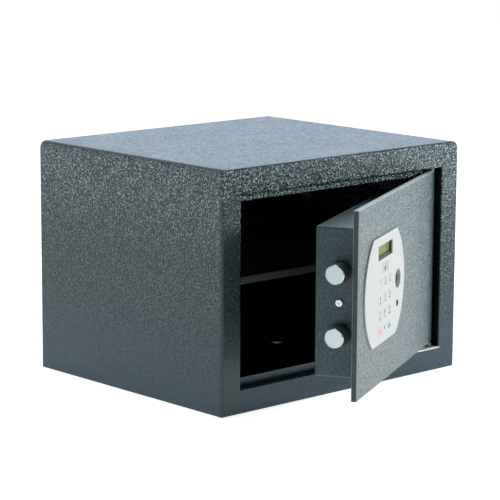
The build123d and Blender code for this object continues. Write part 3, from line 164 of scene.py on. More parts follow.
def two_stop_ramp(tree, value, low, high):
    """Colour ramp between two (position, colour) stops."""
    ramp = tree.nodes.new("ShaderNodeValToRGB")
    for element, (position, colour) in zip(ramp.color_ramp.elements, (low, high)):
        element.position = position
        element.color = (*colour, 1.0)
    tree.links.new(value, ramp.inputs["Fac"])
    return ramp.outputs["Color"]


def make_studio_walls():
    """Bright wall behind the safe, dimmer ones in front and at the left, under a dark ceiling."""
    world = bpy.data.worlds.new("studio")
    world.use_nodes = True
    tree = world.node_tree
    direction = tree.nodes.new("ShaderNodeTexCoord").outputs["Generated"]
    parts = tree.nodes.new("ShaderNodeSeparateXYZ")
    tree.links.new(direction, parts.inputs["Vector"])
    backness = tree.nodes.new("ShaderNodeVectorMath")
    backness.operation = "DOT_PRODUCT"
    tree.links.new(direction, backness.inputs[0])
    backness.inputs[1].default_value = BRIGHT_WALL
    walls = two_stop_ramp(tree, backness.outputs["Value"], DIM_SIDE, BRIGHT_SIDE)
    height = two_stop_ramp(tree, parts.outputs["Z"], WALL_TOP, CEILING)
    both = tree.nodes.new("ShaderNodeMix")
    both.data_type = "RGBA"
    both.blend_type = "MULTIPLY"
    both.inputs[MIX_FACTOR].default_value = 1.0
    tree.links.new(walls, both.inputs[MIX_FIRST])
    tree.links.new(height, both.inputs[MIX_SECOND])
    background = tree.nodes["Background"]
    tree.links.new(both.outputs[MIX_RESULT], background.inputs["Color"])
    background.inputs["Strength"].default_value = WALL_STRENGTH
    bpy.context.scene.world = world


def make_lights():
    """Small key at the right, small light behind the left side for the glints, and a soft overhead."""
    make_studio_walls()
    area_light("key", **KEY)
    area_light("backlight", **BACKLIGHT)
    area_light("overhead", **OVERHEAD)
    view = bpy.context.scene.view_settings
    view.view_transform = "Standard"
    view.look = "None"


# ---------------------------------------------------------------- material helpers
class Shader:
    """A material with its Principled shader and short calls to add nodes to it."""

    def __init__(self, name):
        self.material = bpy.data.materials.new(name)
        self.material.use_nodes = True
        self.tree = self.material.node_tree
        self.surface = self.tree.nodes["Principled BSDF"]
        self.place = self.add("ShaderNodeTexCoord").outputs["Object"]

    def add(self, kind, **settings):
        node = self.tree.nodes.new(kind)
        for key, value in settings.items():
            setattr(node, key, value)
        return node

    def link(self, output, target):
        self.tree.links.new(output, target)

    def set(self, **values):
        """Sets constants on the shader's own sockets."""
        for key, value in values.items():
            self.surface.inputs[key.replace("_", " ")].default_value = value

    def noise(self, scale, detail=2.0, roughness=0.5, distortion=0.0, source=None):
        node = self.add("ShaderNodeTexNoise")
        node.inputs["Scale"].default_value = scale
        node.inputs["Detail"].default_value = detail
        node.inputs["Roughness"].default_value = roughness
        node.inputs["Distortion"].default_value = distortion
        self.link(source or self.place, node.inputs["Vector"])
        return node.outputs["Fac"]

    def drawn_out(self, direction, factor):
        """Coordinates in which a pattern comes out longer along a direction."""
        axis = Vector(direction).normalized()
        shrink = self.add("ShaderNodeVectorMath", operation="SCALE")
        shrink.inputs[0].default_value = tuple(axis)
        self.link(self.maths("MULTIPLY", self.along(axis), 1.0 - factor), shrink.inputs["Scale"])
        moved = self.add("ShaderNodeVectorMath", operation="SUBTRACT")
        self.link(self.place, moved.inputs[0])
        self.link(shrink.outputs["Vector"], moved.inputs[1])
        return moved.outputs["Vector"]

    def along(self, direction, origin=(0.0, 0.0, 0.0)):
        """Distance of each point from the origin along a direction, in metres."""
        shift = self.add("ShaderNodeVectorMath", operation="SUBTRACT")
        self.link(self.place, shift.inputs[0])
        shift.inputs[1].default_value = tuple(origin)
        dot = self.add("ShaderNodeVectorMath", operation="DOT_PRODUCT")
        self.link(shift.outputs["Vector"], dot.inputs[0])
        dot.inputs[1].default_value = tuple(direction)
        return dot.outputs["Value"]

    def levels(self, value, low, high, out_low=0.0, out_high=1.0):
        """Value carried from the range low to high over to out_low to out_high, and held at its ends."""
        node = self.add("ShaderNodeMapRange")
        node.inputs["From Min"].default_value = low
        node.inputs["From Max"].default_value = high
        node.inputs["To Min"].default_value = out_low
        node.inputs["To Max"].default_value = out_high
        self.link(value, node.inputs["Value"])
        return node.outputs["Result"]

    def band(self, value, low, high, soft):
        """One between low and high, fading to nothing over soft on each side."""
        rise = self.levels(value, low - soft, low)
        fall = self.levels(value, high, high + soft, 1.0, 0.0)
        return self.product(rise, fall)

    def ramp(self, value, stops):
        """Colour ramp through (position, colour) stops."""
        node = self.add("ShaderNodeValToRGB")
        ramp = node.color_ramp
        while len(ramp.elements) < len(stops):
            ramp.elements.new(0.5)
        for element, (position, colour) in zip(ramp.elements, stops):
            element.position = position
            element.color = (*colour, 1.0)
        self.link(value, node.inputs["Fac"])
        return node.outputs["Color"]

    def maths(self, operation, first, second):
        node = self.add("ShaderNodeMath", operation=operation)
        for index, value in enumerate((first, second)):
            if isinstance(value, (int, float)):
                node.inputs[index].default_value = value
            else:
                self.link(value, node.inputs[index])
        return node.outputs["Value"]

    def product(self, first, second):
        return self.maths("MULTIPLY", first, second)

    def mix(self, factor, first, second):
        """First colour where the factor is 0 and second where it is 1."""
        node = self.add("ShaderNodeMix", data_type="RGBA")
        for index, value in ((MIX_FACTOR, factor), (MIX_FIRST, first), (MIX_SECOND, second)):
            if isinstance(value, tuple):
                node.inputs[index].default_value = (*value, 1.0)
            else:
                self.link(value, node.inputs[index])
        return node.outputs[MIX_RESULT]

    def colour(self, output):
        self.link(output, self.surface.inputs["Base Color"])

    def roughness(self, output):
        self.link(output, self.surface.inputs["Roughness"])

    def bump(self, height, distance, strength=1.0):
        node = self.add("ShaderNodeBump")
        node.inputs["Strength"].default_value = strength
        node.inputs["Distance"].default_value = distance
        self.link(height, node.inputs["Height"])
        self.link(node.outputs["Normal"], self.surface.inputs["Normal"])


# ---------------------------------------------------------------- floor
FLOOR_RADIUS = 9.0
FLOOR_SEGMENTS = 96
FLOOR_TONES = ((0.3, (0.86, 0.86, 0.86)), (0.7, (0.88, 0.88, 0.88)))
FLOOR_TONE_SCALE = 3.0
FLOOR_ROUGHNESS = 0.7
FLOOR_GLOW = 0.80
WHITE_GLOW = (1.0, 1.0, 1.0, 1.0)


def floor_material():
    shader = Shader("pale_floor")
    shader.colour(shader.ramp(shader.noise(FLOOR_TONE_SCALE), FLOOR_TONES))
    shader.set(Roughness=FLOOR_ROUGHNESS, Emission_Color=WHITE_GLOW, Emission_Strength=FLOOR_GLOW)
    return shader.material


def make_floor():
    """Wide round pale floor under the cabinet."""
    bm = bmesh.new()
    bmesh.ops.create_circle(bm, cap_ends=True, radius=FLOOR_RADIUS, segments=FLOOR_SEGMENTS)
    mesh = bpy.data.meshes.new("floor")
    bm.to_mesh(mesh)
    bm.free()
    floor = bpy.data.objects.new("floor", mesh)
    bpy.context.scene.collection.objects.link(floor)
    floor.data.materials.append(floor_material())


# ---------------------------------------------------------------- powder coat
# A peel's scale is in pimples per metre, and its run is the direction in which they are drawn out.
PAINT_SHEEN = (0.70, 0.92, 1.0, 1.0)
PEEL_SCALE = 620.0
PEEL_HEIGHT = 0.00056
PEEL_RUN = (1.0, 1.0, -1.0)
PEEL_STRETCH = 0.55
PIMPLE_DETAIL = 1.5
PIMPLE_ROUGHNESS = 0.45
PIMPLE_TWIST = 0.4
PIMPLE_RANGE = (0.30, 0.70)
GRAIN_FINENESS = 3.1
GRAIN_SHARE = 0.15


def pimple_noise(shader, scale, source=None):
    return shader.noise(scale, PIMPLE_DETAIL, PIMPLE_ROUGHNESS, PIMPLE_TWIST, source)


def orange_peel(shader, height, scale, fading=None, source=None):
    """Rounded pimples of a powder coat with finer grain on them; gives back the pattern for colours."""
    pimples = pimple_noise(shader, scale, source)
    lumps = shader.levels(pimples, *PIMPLE_RANGE)
    grain = shader.noise(scale * GRAIN_FINENESS, 1.0)
    relief = shader.maths("ADD", lumps, shader.product(grain, GRAIN_SHARE))
    if fading is not None:
        relief = shader.product(relief, fading)
    shader.bump(relief, height)
    return pimples


# ---------------------------------------------------------------- cabinet's coat
# Coat ranges are heights above the base. The pimples are high at COAT_Z's top and faint at its foot.
CABINET_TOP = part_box("body_wrap")[1].z
COAT_Z = (0.03, 0.24)
COAT_FADED = 0.22
# Painted glints: the upper coat's pale crests stand for light glinting on the pimples, faded out lower down.
GLINT_Z = (0.04, 0.20)
GLINT_COAT = ((0.44, (0.0005, 0.002, 0.002)), (0.52, (0.011, 0.019, 0.019)), (0.61, (0.088, 0.118, 0.120)))
PLAIN_COAT = ((0.42, (0.0005, 0.003, 0.003)), (0.58, (0.032, 0.048, 0.049)))
# Painted reflection: bluer tones near the bottom stand for the floor reflected in the walls.
BLUE_REFLECTION_Z = (0.01, 0.11)
BLUE_REFLECTION_SHARE = 0.9
BLUE_REFLECTION_COAT = ((0.36, (0.008, 0.022, 0.036)), (0.64, (0.022, 0.040, 0.056)))
# Painted glints: the highest crests turn pale high on the walls.
GLINT_CREST_Z = (0.16, 0.25)
GLINT_CREST_SHARE = 0.8
CREST = (0.55, 0.62)
GLINT_CREST_TONE = (0.34, 0.375, 0.38)
# Painted reflection: the top face is a pale blue-grey speckle, standing for the bright room reflected on it.
TOP_FACE_Z = (CABINET_TOP - 0.3 * MM, CABINET_TOP - 0.1 * MM)
TOP_GRIT = 300.0
TOP_REFLECTION_TONES = ((0.40, (0.09, 0.125, 0.16)), (0.60, (0.235, 0.28, 0.32)))
GLOSS_PATCHES = 20.0
GLOSS_DETAIL = 3.0
GLOSS = (0.22, 0.28)
TOP_DULLNESS = 0.10
COAT_SPECULAR = 0.42


def wall_skin(shader):
    """Colour of the cabinet's coat: bold pimples with painted glints high up, fainter pimples under a painted
    blue reflection of the floor near the bottom, and a pale top face that is painted reflection.
    """
    above = shader.along(UP)
    fading = shader.levels(above, *COAT_Z, COAT_FADED, 1.0)
    run = shader.drawn_out(PEEL_RUN, PEEL_STRETCH)
    pimples = orange_peel(shader, PEEL_HEIGHT, PEEL_SCALE, fading, run)
    # Painted glints on the upper coat's crests; the lower coat has none.
    glint_skin = shader.ramp(pimples, GLINT_COAT)
    plain_skin = shader.ramp(pimples, PLAIN_COAT)
    skin = shader.mix(shader.levels(above, *GLINT_Z), plain_skin, glint_skin)
    # Painted reflection of the floor: bluer tones near the bottom.
    blue = shader.ramp(pimples, BLUE_REFLECTION_COAT)
    skin = shader.mix(shader.levels(above, *BLUE_REFLECTION_Z, BLUE_REFLECTION_SHARE, 0.0), skin, blue)
    # Painted glints: the highest crests turn pale high on the walls.
    sparkle = shader.levels(above, *GLINT_CREST_Z, 0.0, GLINT_CREST_SHARE)
    skin = shader.mix(shader.product(shader.levels(pimples, *CREST), sparkle), skin, GLINT_CREST_TONE)
    # Painted reflection: the pale speckle on the top face.
    speck = shader.ramp(shader.noise(TOP_GRIT, 1.0), TOP_REFLECTION_TONES)
    skin = shader.mix(shader.levels(above, *TOP_FACE_Z), skin, speck)
    gloss = shader.levels(shader.noise(GLOSS_PATCHES, GLOSS_DETAIL), *PIMPLE_RANGE, *GLOSS)
    dulled = shader.levels(above, *TOP_FACE_Z, 0.0, TOP_DULLNESS)
    shader.roughness(shader.maths("ADD", gloss, dulled))
    shader.set(Specular_Tint=PAINT_SHEEN, Specular_IOR_Level=COAT_SPECULAR)
    return skin


# Painted highlight: a row of lit pimples runs under the folded top edge. Painted dark reflection: the bend
# itself is dark.
LIT_ROW_Z = (CABINET_TOP - 6.0 * MM, CABINET_TOP - 4.0 * MM)
LIT_ROW_SOFT = 2.0 * MM
LIT_ROW_SHARE = 0.7
LIT_PIMPLES = (0.42, 0.62)
LIT_ROW_HIGHLIGHT = (0.16, 0.185, 0.19)
BEND_Z = (CABINET_TOP - 2.0 * MM, CABINET_TOP - 0.2 * MM)
BEND_SOFT = 0.15 * MM
BEND_REFLECTION_TONE = (0.008, 0.011, 0.008)


def cabinet_paint():
    """Dark grey-green powder coat with a coarse orange-peel skin, a painted highlight row under the top edge
    and a painted dark reflection on the bend.
    """
    shader = Shader("cabinet_paint")
    skin = wall_skin(shader)
    above = shader.along(UP)
    pimples = pimple_noise(shader, PEEL_SCALE, shader.drawn_out(PEEL_RUN, PEEL_STRETCH))
    speckle = shader.levels(pimples, *LIT_PIMPLES)
    # Painted highlight on the row under the top edge, and painted dark reflection on the bend.
    lit = shader.product(shader.band(above, *LIT_ROW_Z, LIT_ROW_SOFT), LIT_ROW_SHARE)
    skin = shader.mix(shader.product(lit, speckle), skin, LIT_ROW_HIGHLIGHT)
    bend = shader.band(above, *BEND_Z, BEND_SOFT)
    shader.colour(shader.mix(bend, skin, BEND_REFLECTION_TONE))
    return shader.material


# ---------------------------------------------------------------- front sheet
FRAME_LOW, FRAME_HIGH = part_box("front_frame")
# Painted dark reflection: the front sheet's upper rim is near black.
RIM_WIDTH = 1.6 * MM
RIM_Z = (FRAME_HIGH.z - RIM_WIDTH, FRAME_HIGH.z - 0.3 * RIM_WIDTH)
RIM_REFLECTION_TONE = (0.006, 0.008, 0.009)
# Painted shade: the narrow strip left of the mouth is darker and more even.
STILE_X = (FRAME_LOW.x + 22.0 * MM, FRAME_LOW.x + 26.0 * MM)
STILE_Z = (FRAME_HIGH.z - 34.0 * MM, FRAME_HIGH.z - 26.0 * MM)
STILE_SHARE = 0.8
STILE_SHADE_TONES = ((0.38, (0.010, 0.015, 0.014)), (0.62, (0.034, 0.045, 0.042)))
RETURN_X = (0.1475, 0.1518)
RETURN_SOFT = 0.2 * MM
RETURN_Y = (FRAME_LOW.y + 0.6 * MM, FRAME_LOW.y + 1.2 * MM)
RETURN_TONE = (0.003, 0.003, 0.003)
# Painted highlight: a pale broken line on the sill's rounded edge near the hinge.
SILL_HIGHLIGHT_X = (0.100, 0.147)
SILL_HIGHLIGHT_Z = (0.0247, 0.0262)
SILL_SOFT_X = 6.0 * MM
SILL_SOFT_Z = 0.3 * MM
HIGHLIGHT_BREAK_SCALE = 900.0
HIGHLIGHT_BREAK_DETAIL = 3.0
HIGHLIGHT_BREAK_RANGE = (0.30, 0.48)
SILL_HIGHLIGHT_TONE = (0.72, 0.73, 0.74)


def stile_shade(shader, skin):
    """Painted shade: a darker, more even tone on the narrow strip at the left of the mouth."""
    calm = shader.ramp(shader.noise(PEEL_SCALE, PIMPLE_DETAIL), STILE_SHADE_TONES)
    beside = shader.levels(shader.along(RIGHT), *STILE_X, STILE_SHARE, 0.0)
    below = shader.levels(shader.along(UP), *STILE_Z, 1.0, 0.0)
    return shader.mix(shader.product(beside, below), skin, calm)


def dark_return(shader, skin):
    """Near-black tone on the mouth's return at the hinge side, standing for the deep shade there."""
    past_mouth = shader.band(shader.along(RIGHT), *RETURN_X, RETURN_SOFT)
    behind = shader.levels(shader.along(INWARD), *RETURN_Y)
    return shader.mix(shader.product(past_mouth, behind), skin, RETURN_TONE)


def sill_highlight(shader, skin):
    """Painted highlight: a pale, broken line on the sill's rounded edge near the hinge."""
    across = shader.band(shader.along(RIGHT), *SILL_HIGHLIGHT_X, SILL_SOFT_X)
    edge = shader.band(shader.along(UP), *SILL_HIGHLIGHT_Z, SILL_SOFT_Z)
    breaks = shader.levels(shader.noise(HIGHLIGHT_BREAK_SCALE, HIGHLIGHT_BREAK_DETAIL), *HIGHLIGHT_BREAK_RANGE)
    return shader.mix(shader.product(shader.product(across, edge), breaks), skin, SILL_HIGHLIGHT_TONE)


def frame_paint():
    """The cabinet's paint on the front sheet, with a painted dark reflection on its upper rim."""
    shader = Shader("frame_paint")
    skin = wall_skin(shader)
    # Painted dark reflection on the upper rim.
    rim = shader.levels(shader.along(UP), *RIM_Z)
    skin = shader.mix(rim, skin, RIM_REFLECTION_TONE)
    # Painted shade on the strip left of the mouth.
    skin = stile_shade(shader, skin)
    skin = dark_return(shader, skin)
    # Painted highlight on the sill near the hinge.
    shader.colour(sill_highlight(shader, skin))
    return shader.material


# ---------------------------------------------------------------- door plate and lock case
# Door widths are measured leftwards from the plate's right edge. DOOR_SHADE darkens the door's foot and the
# strip by its hinge: it is shading held in the paint, and stays when the light changes.
DOOR_EDGE = 293.0 * MM
DOOR_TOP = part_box("door_plate")[1].z
DOOR_PEEL_HEIGHT = 0.00030
DOOR_PEEL_SCALE = 600.0
# Painted light: the coat's pattern is painted paler than the cabinet's for the brighter light on the door,
# with pale crests standing for glints.
DOOR_LIT_COAT = ((0.40, (0.002, 0.016, 0.020)), (0.48, (0.060, 0.092, 0.096)), (0.58, (0.160, 0.210, 0.216)))
DOOR_SHADE = (0.02, 0.036, 0.040)
DOOR_SHADE_Z = (0.04, 0.20)
DOOR_SHADE_SHARES = (0.26, 0.07)
HINGE_SHADE_WIDTH = 22.0 * MM
HINGE_SHADE_SHARE = 0.75
# Painted highlights on the plate's left and top bevels, and painted shade on its left edge face.
SIDE_BEVEL = (DOOR_EDGE - 1.0 * MM, DOOR_EDGE - 0.7 * MM)
SIDE_BEVEL_HIGHLIGHT = (0.20, 0.24, 0.25)
SIDE_FACE = (DOOR_EDGE - 0.2 * MM, DOOR_EDGE - 0.1 * MM)
SIDE_FACE_SHADE = (0.022, 0.032, 0.033)
TOP_BEVEL = (DOOR_TOP - 0.8 * MM, DOOR_TOP - 0.5 * MM)
TOP_BEVEL_HIGHLIGHT = (0.34, 0.42, 0.44)
DOOR_GLOSS = (0.34, 0.42)


def door_paint():
    """The same powder coat on the thick plate, finer, painted paler for the brighter light on the door, with
    painted highlights on the bevels and painted shade on its edge.
    """
    shader = Shader("door_paint")
    run = shader.drawn_out(DOOR_LEFT, PEEL_STRETCH)
    pimples = orange_peel(shader, DOOR_PEEL_HEIGHT, DOOR_PEEL_SCALE, source=run)
    above = shader.along(UP)
    across = shader.along(DOOR_LEFT, HINGE - DOOR_LEFT * HINGE_INSET)
    # Painted light: the coat is paler than the cabinet's, with pale crests for glints.
    skin = shader.ramp(pimples, DOOR_LIT_COAT)
    skin = shader.mix(shader.levels(above, *DOOR_SHADE_Z, *DOOR_SHADE_SHARES), skin, DOOR_SHADE)
    by_hinge = shader.levels(across, 0.0, HINGE_SHADE_WIDTH, HINGE_SHADE_SHARE, 0.0)
    skin = shader.mix(by_hinge, skin, DOOR_SHADE)
    # Painted highlights on the bevels, painted shade on the left edge face.
    skin = shader.mix(shader.levels(across, *SIDE_BEVEL), skin, SIDE_BEVEL_HIGHLIGHT)
    skin = shader.mix(shader.levels(across, *SIDE_FACE), skin, SIDE_FACE_SHADE)
    shader.colour(shader.mix(shader.levels(above, *TOP_BEVEL), skin, TOP_BEVEL_HIGHLIGHT))
    shader.roughness(shader.levels(pimples, *PIMPLE_RANGE, *DOOR_GLOSS))
    return shader.material


COVER_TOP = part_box("lock_cover")[1].z
COVER_TOP_FACE = (COVER_TOP - 0.6 * MM, COVER_TOP - 0.2 * MM)
COVER_PEEL_HEIGHT = 0.00014
COVER_PEEL_SCALE = 560.0
COVER_COAT = ((0.38, (0.012, 0.024, 0.027)), (0.62, (0.048, 0.070, 0.072)))
# Painted light: the top of the pan is paler near the plate.
COVER_LIT_DEPTH = (6.0 * MM, 40.0 * MM)
COVER_LIT_SHARES = (0.9, 0.1)
COVER_LIT_TONE = (0.17, 0.23, 0.26)
COVER_ROUGHNESS = 0.40


def cover_paint():
    """The same paint on the folded pan, with a finer skin, and painted light making it paler on top near the
    plate.
    """
    shader = Shader("cover_paint")
    pimples = orange_peel(shader, COVER_PEEL_HEIGHT, COVER_PEEL_SCALE)
    skin = shader.ramp(pimples, COVER_COAT)
    # Painted light: paler on top near the plate.
    top = shader.levels(shader.along(UP), *COVER_TOP_FACE)
    depth = shader.along(DOOR_BACK, HINGE - DOOR_BACK * PLATE_HALF)
    near = shader.levels(depth, *COVER_LIT_DEPTH, *COVER_LIT_SHARES)
    shader.colour(shader.mix(shader.product(top, near), skin, COVER_LIT_TONE))
    shader.set(Roughness=COVER_ROUGHNESS, Specular_Tint=PAINT_SHEEN)
    return shader.material


# ---------------------------------------------------------------- shelf, metals and plastics
SHELF_GRAIN = 520.0
SHELF_GRAIN_HEIGHT = 0.00012
SHELF_ROUGHNESS = 0.45
SHELF_TONES = ((0.4, (0.050, 0.064, 0.052)), (0.6, (0.080, 0.098, 0.084)))
METAL_GRAIN = 900.0
METAL_DETAIL = 3.0
METAL_GRAIN_HEIGHT = 0.00002
METAL_GRAIN_STRENGTH = 0.3
METAL_RANGE = (0.3, 0.7)
METAL_SPREAD = (0.8, 1.2)
PLASTIC_GRAIN = 1200.0
PLASTIC_GRAIN_HEIGHT = 0.00005
PLASTIC_GRAIN_STRENGTH = 0.5
PLASTIC_TONE_RANGE = (0.35, 0.65)
PLASTIC_GLOSS_RANGE = (0.3, 0.7)
PLASTIC_SPREAD = (0.92, 1.08)
DISPLAY_SPECULAR = 0.12

# Each metal is a darker and a paler tone and a roughness.
METALS = {
    "plated_steel": ((0.50, 0.51, 0.52), (0.66, 0.67, 0.68), 0.32),
    "zinc": ((0.55, 0.58, 0.60), (0.68, 0.71, 0.73), 0.25),
    "chrome": ((0.40, 0.47, 0.48), (0.50, 0.57, 0.58), 0.30),
    "brass": ((0.10, 0.08, 0.05), (0.18, 0.14, 0.08), 0.5),
}
# Each plastic is a darker and a paler tone, a roughness and, where it has its own, a grain and its height.
PLASTICS = {
    "black_plastic": ((0.006, 0.006, 0.006), (0.012, 0.012, 0.012), 0.35),
    "fascia_plastic": ((0.40, 0.395, 0.385), (0.44, 0.435, 0.425), 0.42),
    "felt": ((0.012, 0.013, 0.013), (0.035, 0.036, 0.036), 0.9, 1600.0, 0.0005),
    "solder_mask": ((0.01, 0.08, 0.03), (0.02, 0.12, 0.05), 0.25, 300.0),
    "cell_sleeve": ((0.02, 0.02, 0.025), (0.04, 0.04, 0.05), 0.25),
    "ribbon": ((0.42, 0.42, 0.44), (0.5, 0.5, 0.52), 0.5),
    "wire": ((0.30, 0.01, 0.01), (0.38, 0.02, 0.02), 0.4),
    "red_plastic": ((0.40, 0.02, 0.02), (0.48, 0.03, 0.03), 0.35),
    "sensor_grey": ((0.05, 0.05, 0.05), (0.22, 0.225, 0.22), 0.4, 900.0, 0.0003),
    "sensor_dark": ((0.01, 0.01, 0.012), (0.02, 0.02, 0.022), 0.15),
    "dome_film": ((0.6, 0.6, 0.6), (0.7, 0.7, 0.7), 0.4),
    "display_green": ((0.11, 0.145, 0.022), (0.14, 0.175, 0.035), 0.35),
}


def shelf_paint():
    """Matt grey-green paint with a fine grain."""
    shader = Shader("shelf_paint")
    speck = shader.noise(SHELF_GRAIN, 2.0)
    shader.colour(shader.ramp(speck, SHELF_TONES))
    shader.bump(speck, SHELF_GRAIN_HEIGHT)
    shader.set(Roughness=SHELF_ROUGHNESS)
    return shader.material


def plain_metal(name, low, high, roughness):
    """Metal with fine mottling in its tone and its polish."""
    shader = Shader(name)
    mottle = shader.noise(METAL_GRAIN, METAL_DETAIL)
    shader.colour(shader.ramp(mottle, tuple(zip(METAL_RANGE, (low, high)))))
    polish = [roughness * share for share in METAL_SPREAD]
    shader.roughness(shader.levels(mottle, *METAL_RANGE, *polish))
    shader.bump(mottle, METAL_GRAIN_HEIGHT, METAL_GRAIN_STRENGTH)
    shader.set(Metallic=1.0)
    return shader.material


def plain_plastic(name, low, high, roughness, grain_scale=PLASTIC_GRAIN, grain_height=PLASTIC_GRAIN_HEIGHT):
    """Moulded plastic, film or felt with a fine grain."""
    shader = Shader(name)
    grain = shader.noise(grain_scale, 2.0)
    shader.colour(shader.ramp(grain, tuple(zip(PLASTIC_TONE_RANGE, (low, high)))))
    shader.bump(grain, grain_height, PLASTIC_GRAIN_STRENGTH)
    polish = [roughness * share for share in PLASTIC_SPREAD]
    shader.roughness(shader.levels(grain, *PLASTIC_GLOSS_RANGE, *polish))
    return shader.material


# ---------------------------------------------------------------- materials on the CAD nodes
CAP_NODES = [name for name in nodes if name.startswith("key_") and name != "key_dome_mat"]
NODES_OF_MATERIAL = {
    "cabinet_paint": ("body_wrap", "floor_plate", "back_plate", "stop_lip", "hinge_brackets"),
    "frame_paint": ("front_frame",),
    "door_paint": ("door_plate",),
    "cover_paint": ("lock_cover",),
    "shelf_paint": ("shelf", "shelf_brackets"),
    "plated_steel": (
        "hinge_pins",
        "bolt_bar",
        "bolt_rack",
        "bolt_guide",
        "lock_chassis",
        "cover_brackets",
        "drive_pinion",
        "motor",
    ),
    "zinc": ("cover_screws", "plate_screws", "fascia_screws", "bolt_screws"),
    "chrome": ("bolt_upper", "bolt_lower"),
    "brass": ("hinge_washers",),
    "black_plastic": (
        "bolt_bushes",
        "gearbox",
        "limit_switch",
        "battery_holder",
        "battery_lid",
        "reset_switch",
        "lcd_bezel",
        "lcd_module",
        "service_port",
        "board_standoffs",
    ),
    "fascia_plastic": ("keypad_fascia", *CAP_NODES),
    "felt": ("floor_mat",),
    "solder_mask": ("circuit_board", "keypad_board"),
    "cell_sleeve": ("batteries",),
    "ribbon": ("ribbon_cable",),
    "wire": ("wiring",),
    "red_plastic": ("reset_button",),
    "sensor_grey": ("sensor_bezel",),
    "sensor_dark": ("sensor_window",),
    "dome_film": ("key_dome_mat",),
    "display_green": ("lcd_glass",),
}


def make_materials():
    """Every material of the CAD nodes, by name."""
    materials = {
        "cabinet_paint": cabinet_paint(),
        "frame_paint": frame_paint(),
        "door_paint": door_paint(),
        "cover_paint": cover_paint(),
        "shelf_paint": shelf_paint(),
    }
    for name, look in METALS.items():
        materials[name] = plain_metal(name, *look)
    for name, look in PLASTICS.items():
        materials[name] = plain_plastic(name, *look)
    display = materials["display_green"].node_tree.nodes["Principled BSDF"]
    display.inputs["Specular IOR Level"].default_value = DISPLAY_SPECULAR
    return materials


def paint(node, material):
    """Gives a CAD node one material through its object's slots."""
    target = nodes[node]
    if not target.material_slots:
        target.data.materials.append(material)
    for slot in target.material_slots:
        slot.link = "OBJECT"
        slot.material = material


def paint_everything():
    materials = make_materials()
    for name, its_nodes in NODES_OF_MATERIAL.items():
        for node in its_nodes:
            paint(node, materials[name])


# ---------------------------------------------------------------- flat printed shapes
# Outlines and meshes of prints are in millimetres until they are joined.
PRINT_HEIGHT = 0.05
STROKE_SWELL = 0.04
LETTER_CURVE_STEPS = 4
CORNER_STEPS = 6
SHACKLE_STEPS = 16


def raised_mesh(name, bm):
    """Mesh of a flat face set, given the thickness of a print."""
    raised = bmesh.ops.extrude_face_region(bm, geom=list(bm.faces))["geom"]
    tops = [piece for piece in raised if isinstance(piece, bmesh.types.BMVert)]
    bmesh.ops.translate(bm, vec=(0, 0, PRINT_HEIGHT), verts=tops)
    bmesh.ops.recalc_face_normals(bm, faces=bm.faces)
    mesh = bpy.data.meshes.new(name)
    bm.to_mesh(mesh)
    bm.free()
    return mesh


def outline_mesh(outline, centre=(0.0, 0.0)):
    """Closed shape through points."""
    bm = bmesh.new()
    corners = [bm.verts.new((x + centre[0], y + centre[1], 0.0)) for x, y in outline]
    bm.faces.new(corners)
    return raised_mesh("outline", bm)


def band_mesh(outer, inner):
    """Closed band between two outlines with the same number of points."""
    bm = bmesh.new()
    rings = [[bm.verts.new((x, y, 0.0)) for x, y in outline] for outline in (outer, inner)]
    count = len(outer)
    for index in range(count):
        following = (index + 1) % count
        bm.faces.new((rings[0][index], rings[0][following], rings[1][following], rings[1][index]))
    return raised_mesh("band", bm)


def text_mesh(text, size, centre):
    """Flat lettering centred on a point, with a little thickness."""
    curve = bpy.data.curves.new("text", "FONT")
    curve.body = text
    curve.size = size
    curve.align_x = "CENTER"
    curve.align_y = "CENTER"
    curve.extrude = PRINT_HEIGHT / 2
    curve.offset = size * STROKE_SWELL
    curve.resolution_u = LETTER_CURVE_STEPS
    holder = bpy.data.objects.new("text", curve)
    bpy.context.scene.collection.objects.link(holder)
    bpy.context.view_layer.update()
    mesh = bpy.data.meshes.new_from_object(holder)
    bpy.data.objects.remove(holder)
    mesh.transform(Matrix.Translation((*centre, PRINT_HEIGHT / 2)))
    return mesh


def joined(meshes):
    """One mesh in metres from several in millimetres."""
    bm = bmesh.new()
    for mesh in meshes:
        bm.from_mesh(mesh)
    bmesh.ops.scale(bm, vec=(MM, MM, MM), verts=bm.verts)
    mesh = bpy.data.meshes.new("print")
    bm.to_mesh(mesh)
    bm.free()
    return mesh


def rounded_box(width, height, radius):
    """Points round a rectangle with round corners."""
    points = []
    for turn, (sx, sy) in enumerate(((1, 1), (-1, 1), (-1, -1), (1, -1))):
        for step in range(CORNER_STEPS + 1):
            angle = math.pi / 2 * (turn + step / CORNER_STEPS)
            x = sx * (width / 2 - radius) + radius * math.cos(angle)
            y = sy * (height / 2 - radius) + radius * math.sin(angle)
            points.append((x, y))
    return points


def bar(start, end, thick):
    """Points round a straight stroke."""
    run = Vector(end) - Vector(start)
    side = Vector((-run.y, run.x)).normalized() * thick / 2
    corners = ((start, -side), (end, -side), (end, side), (start, side))
    return [tuple(Vector(point) + shift) for point, shift in corners]


def arc(radius, centre, angles):
    """Points at a radius round a centre."""
    return [(centre[0] + radius * math.cos(a), centre[1] + radius * math.sin(a)) for a in angles]


def half_ring(radius, thick, centre):
    """Points round the upper half of a ring."""
    angles = [math.pi * step / SHACKLE_STEPS for step in range(SHACKLE_STEPS + 1)]
    return arc(radius, centre, angles) + arc(radius - thick, centre, angles)[::-1]


def object_from(name, mesh, place, material, body):
    """Adds a finished mesh as a piece that rides on a body."""
    piece = bpy.data.objects.new(name, mesh)
    bpy.context.scene.collection.objects.link(piece)
    piece.matrix_world = place
    mesh.materials.clear()
    mesh.materials.append(material)
    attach(piece, body)


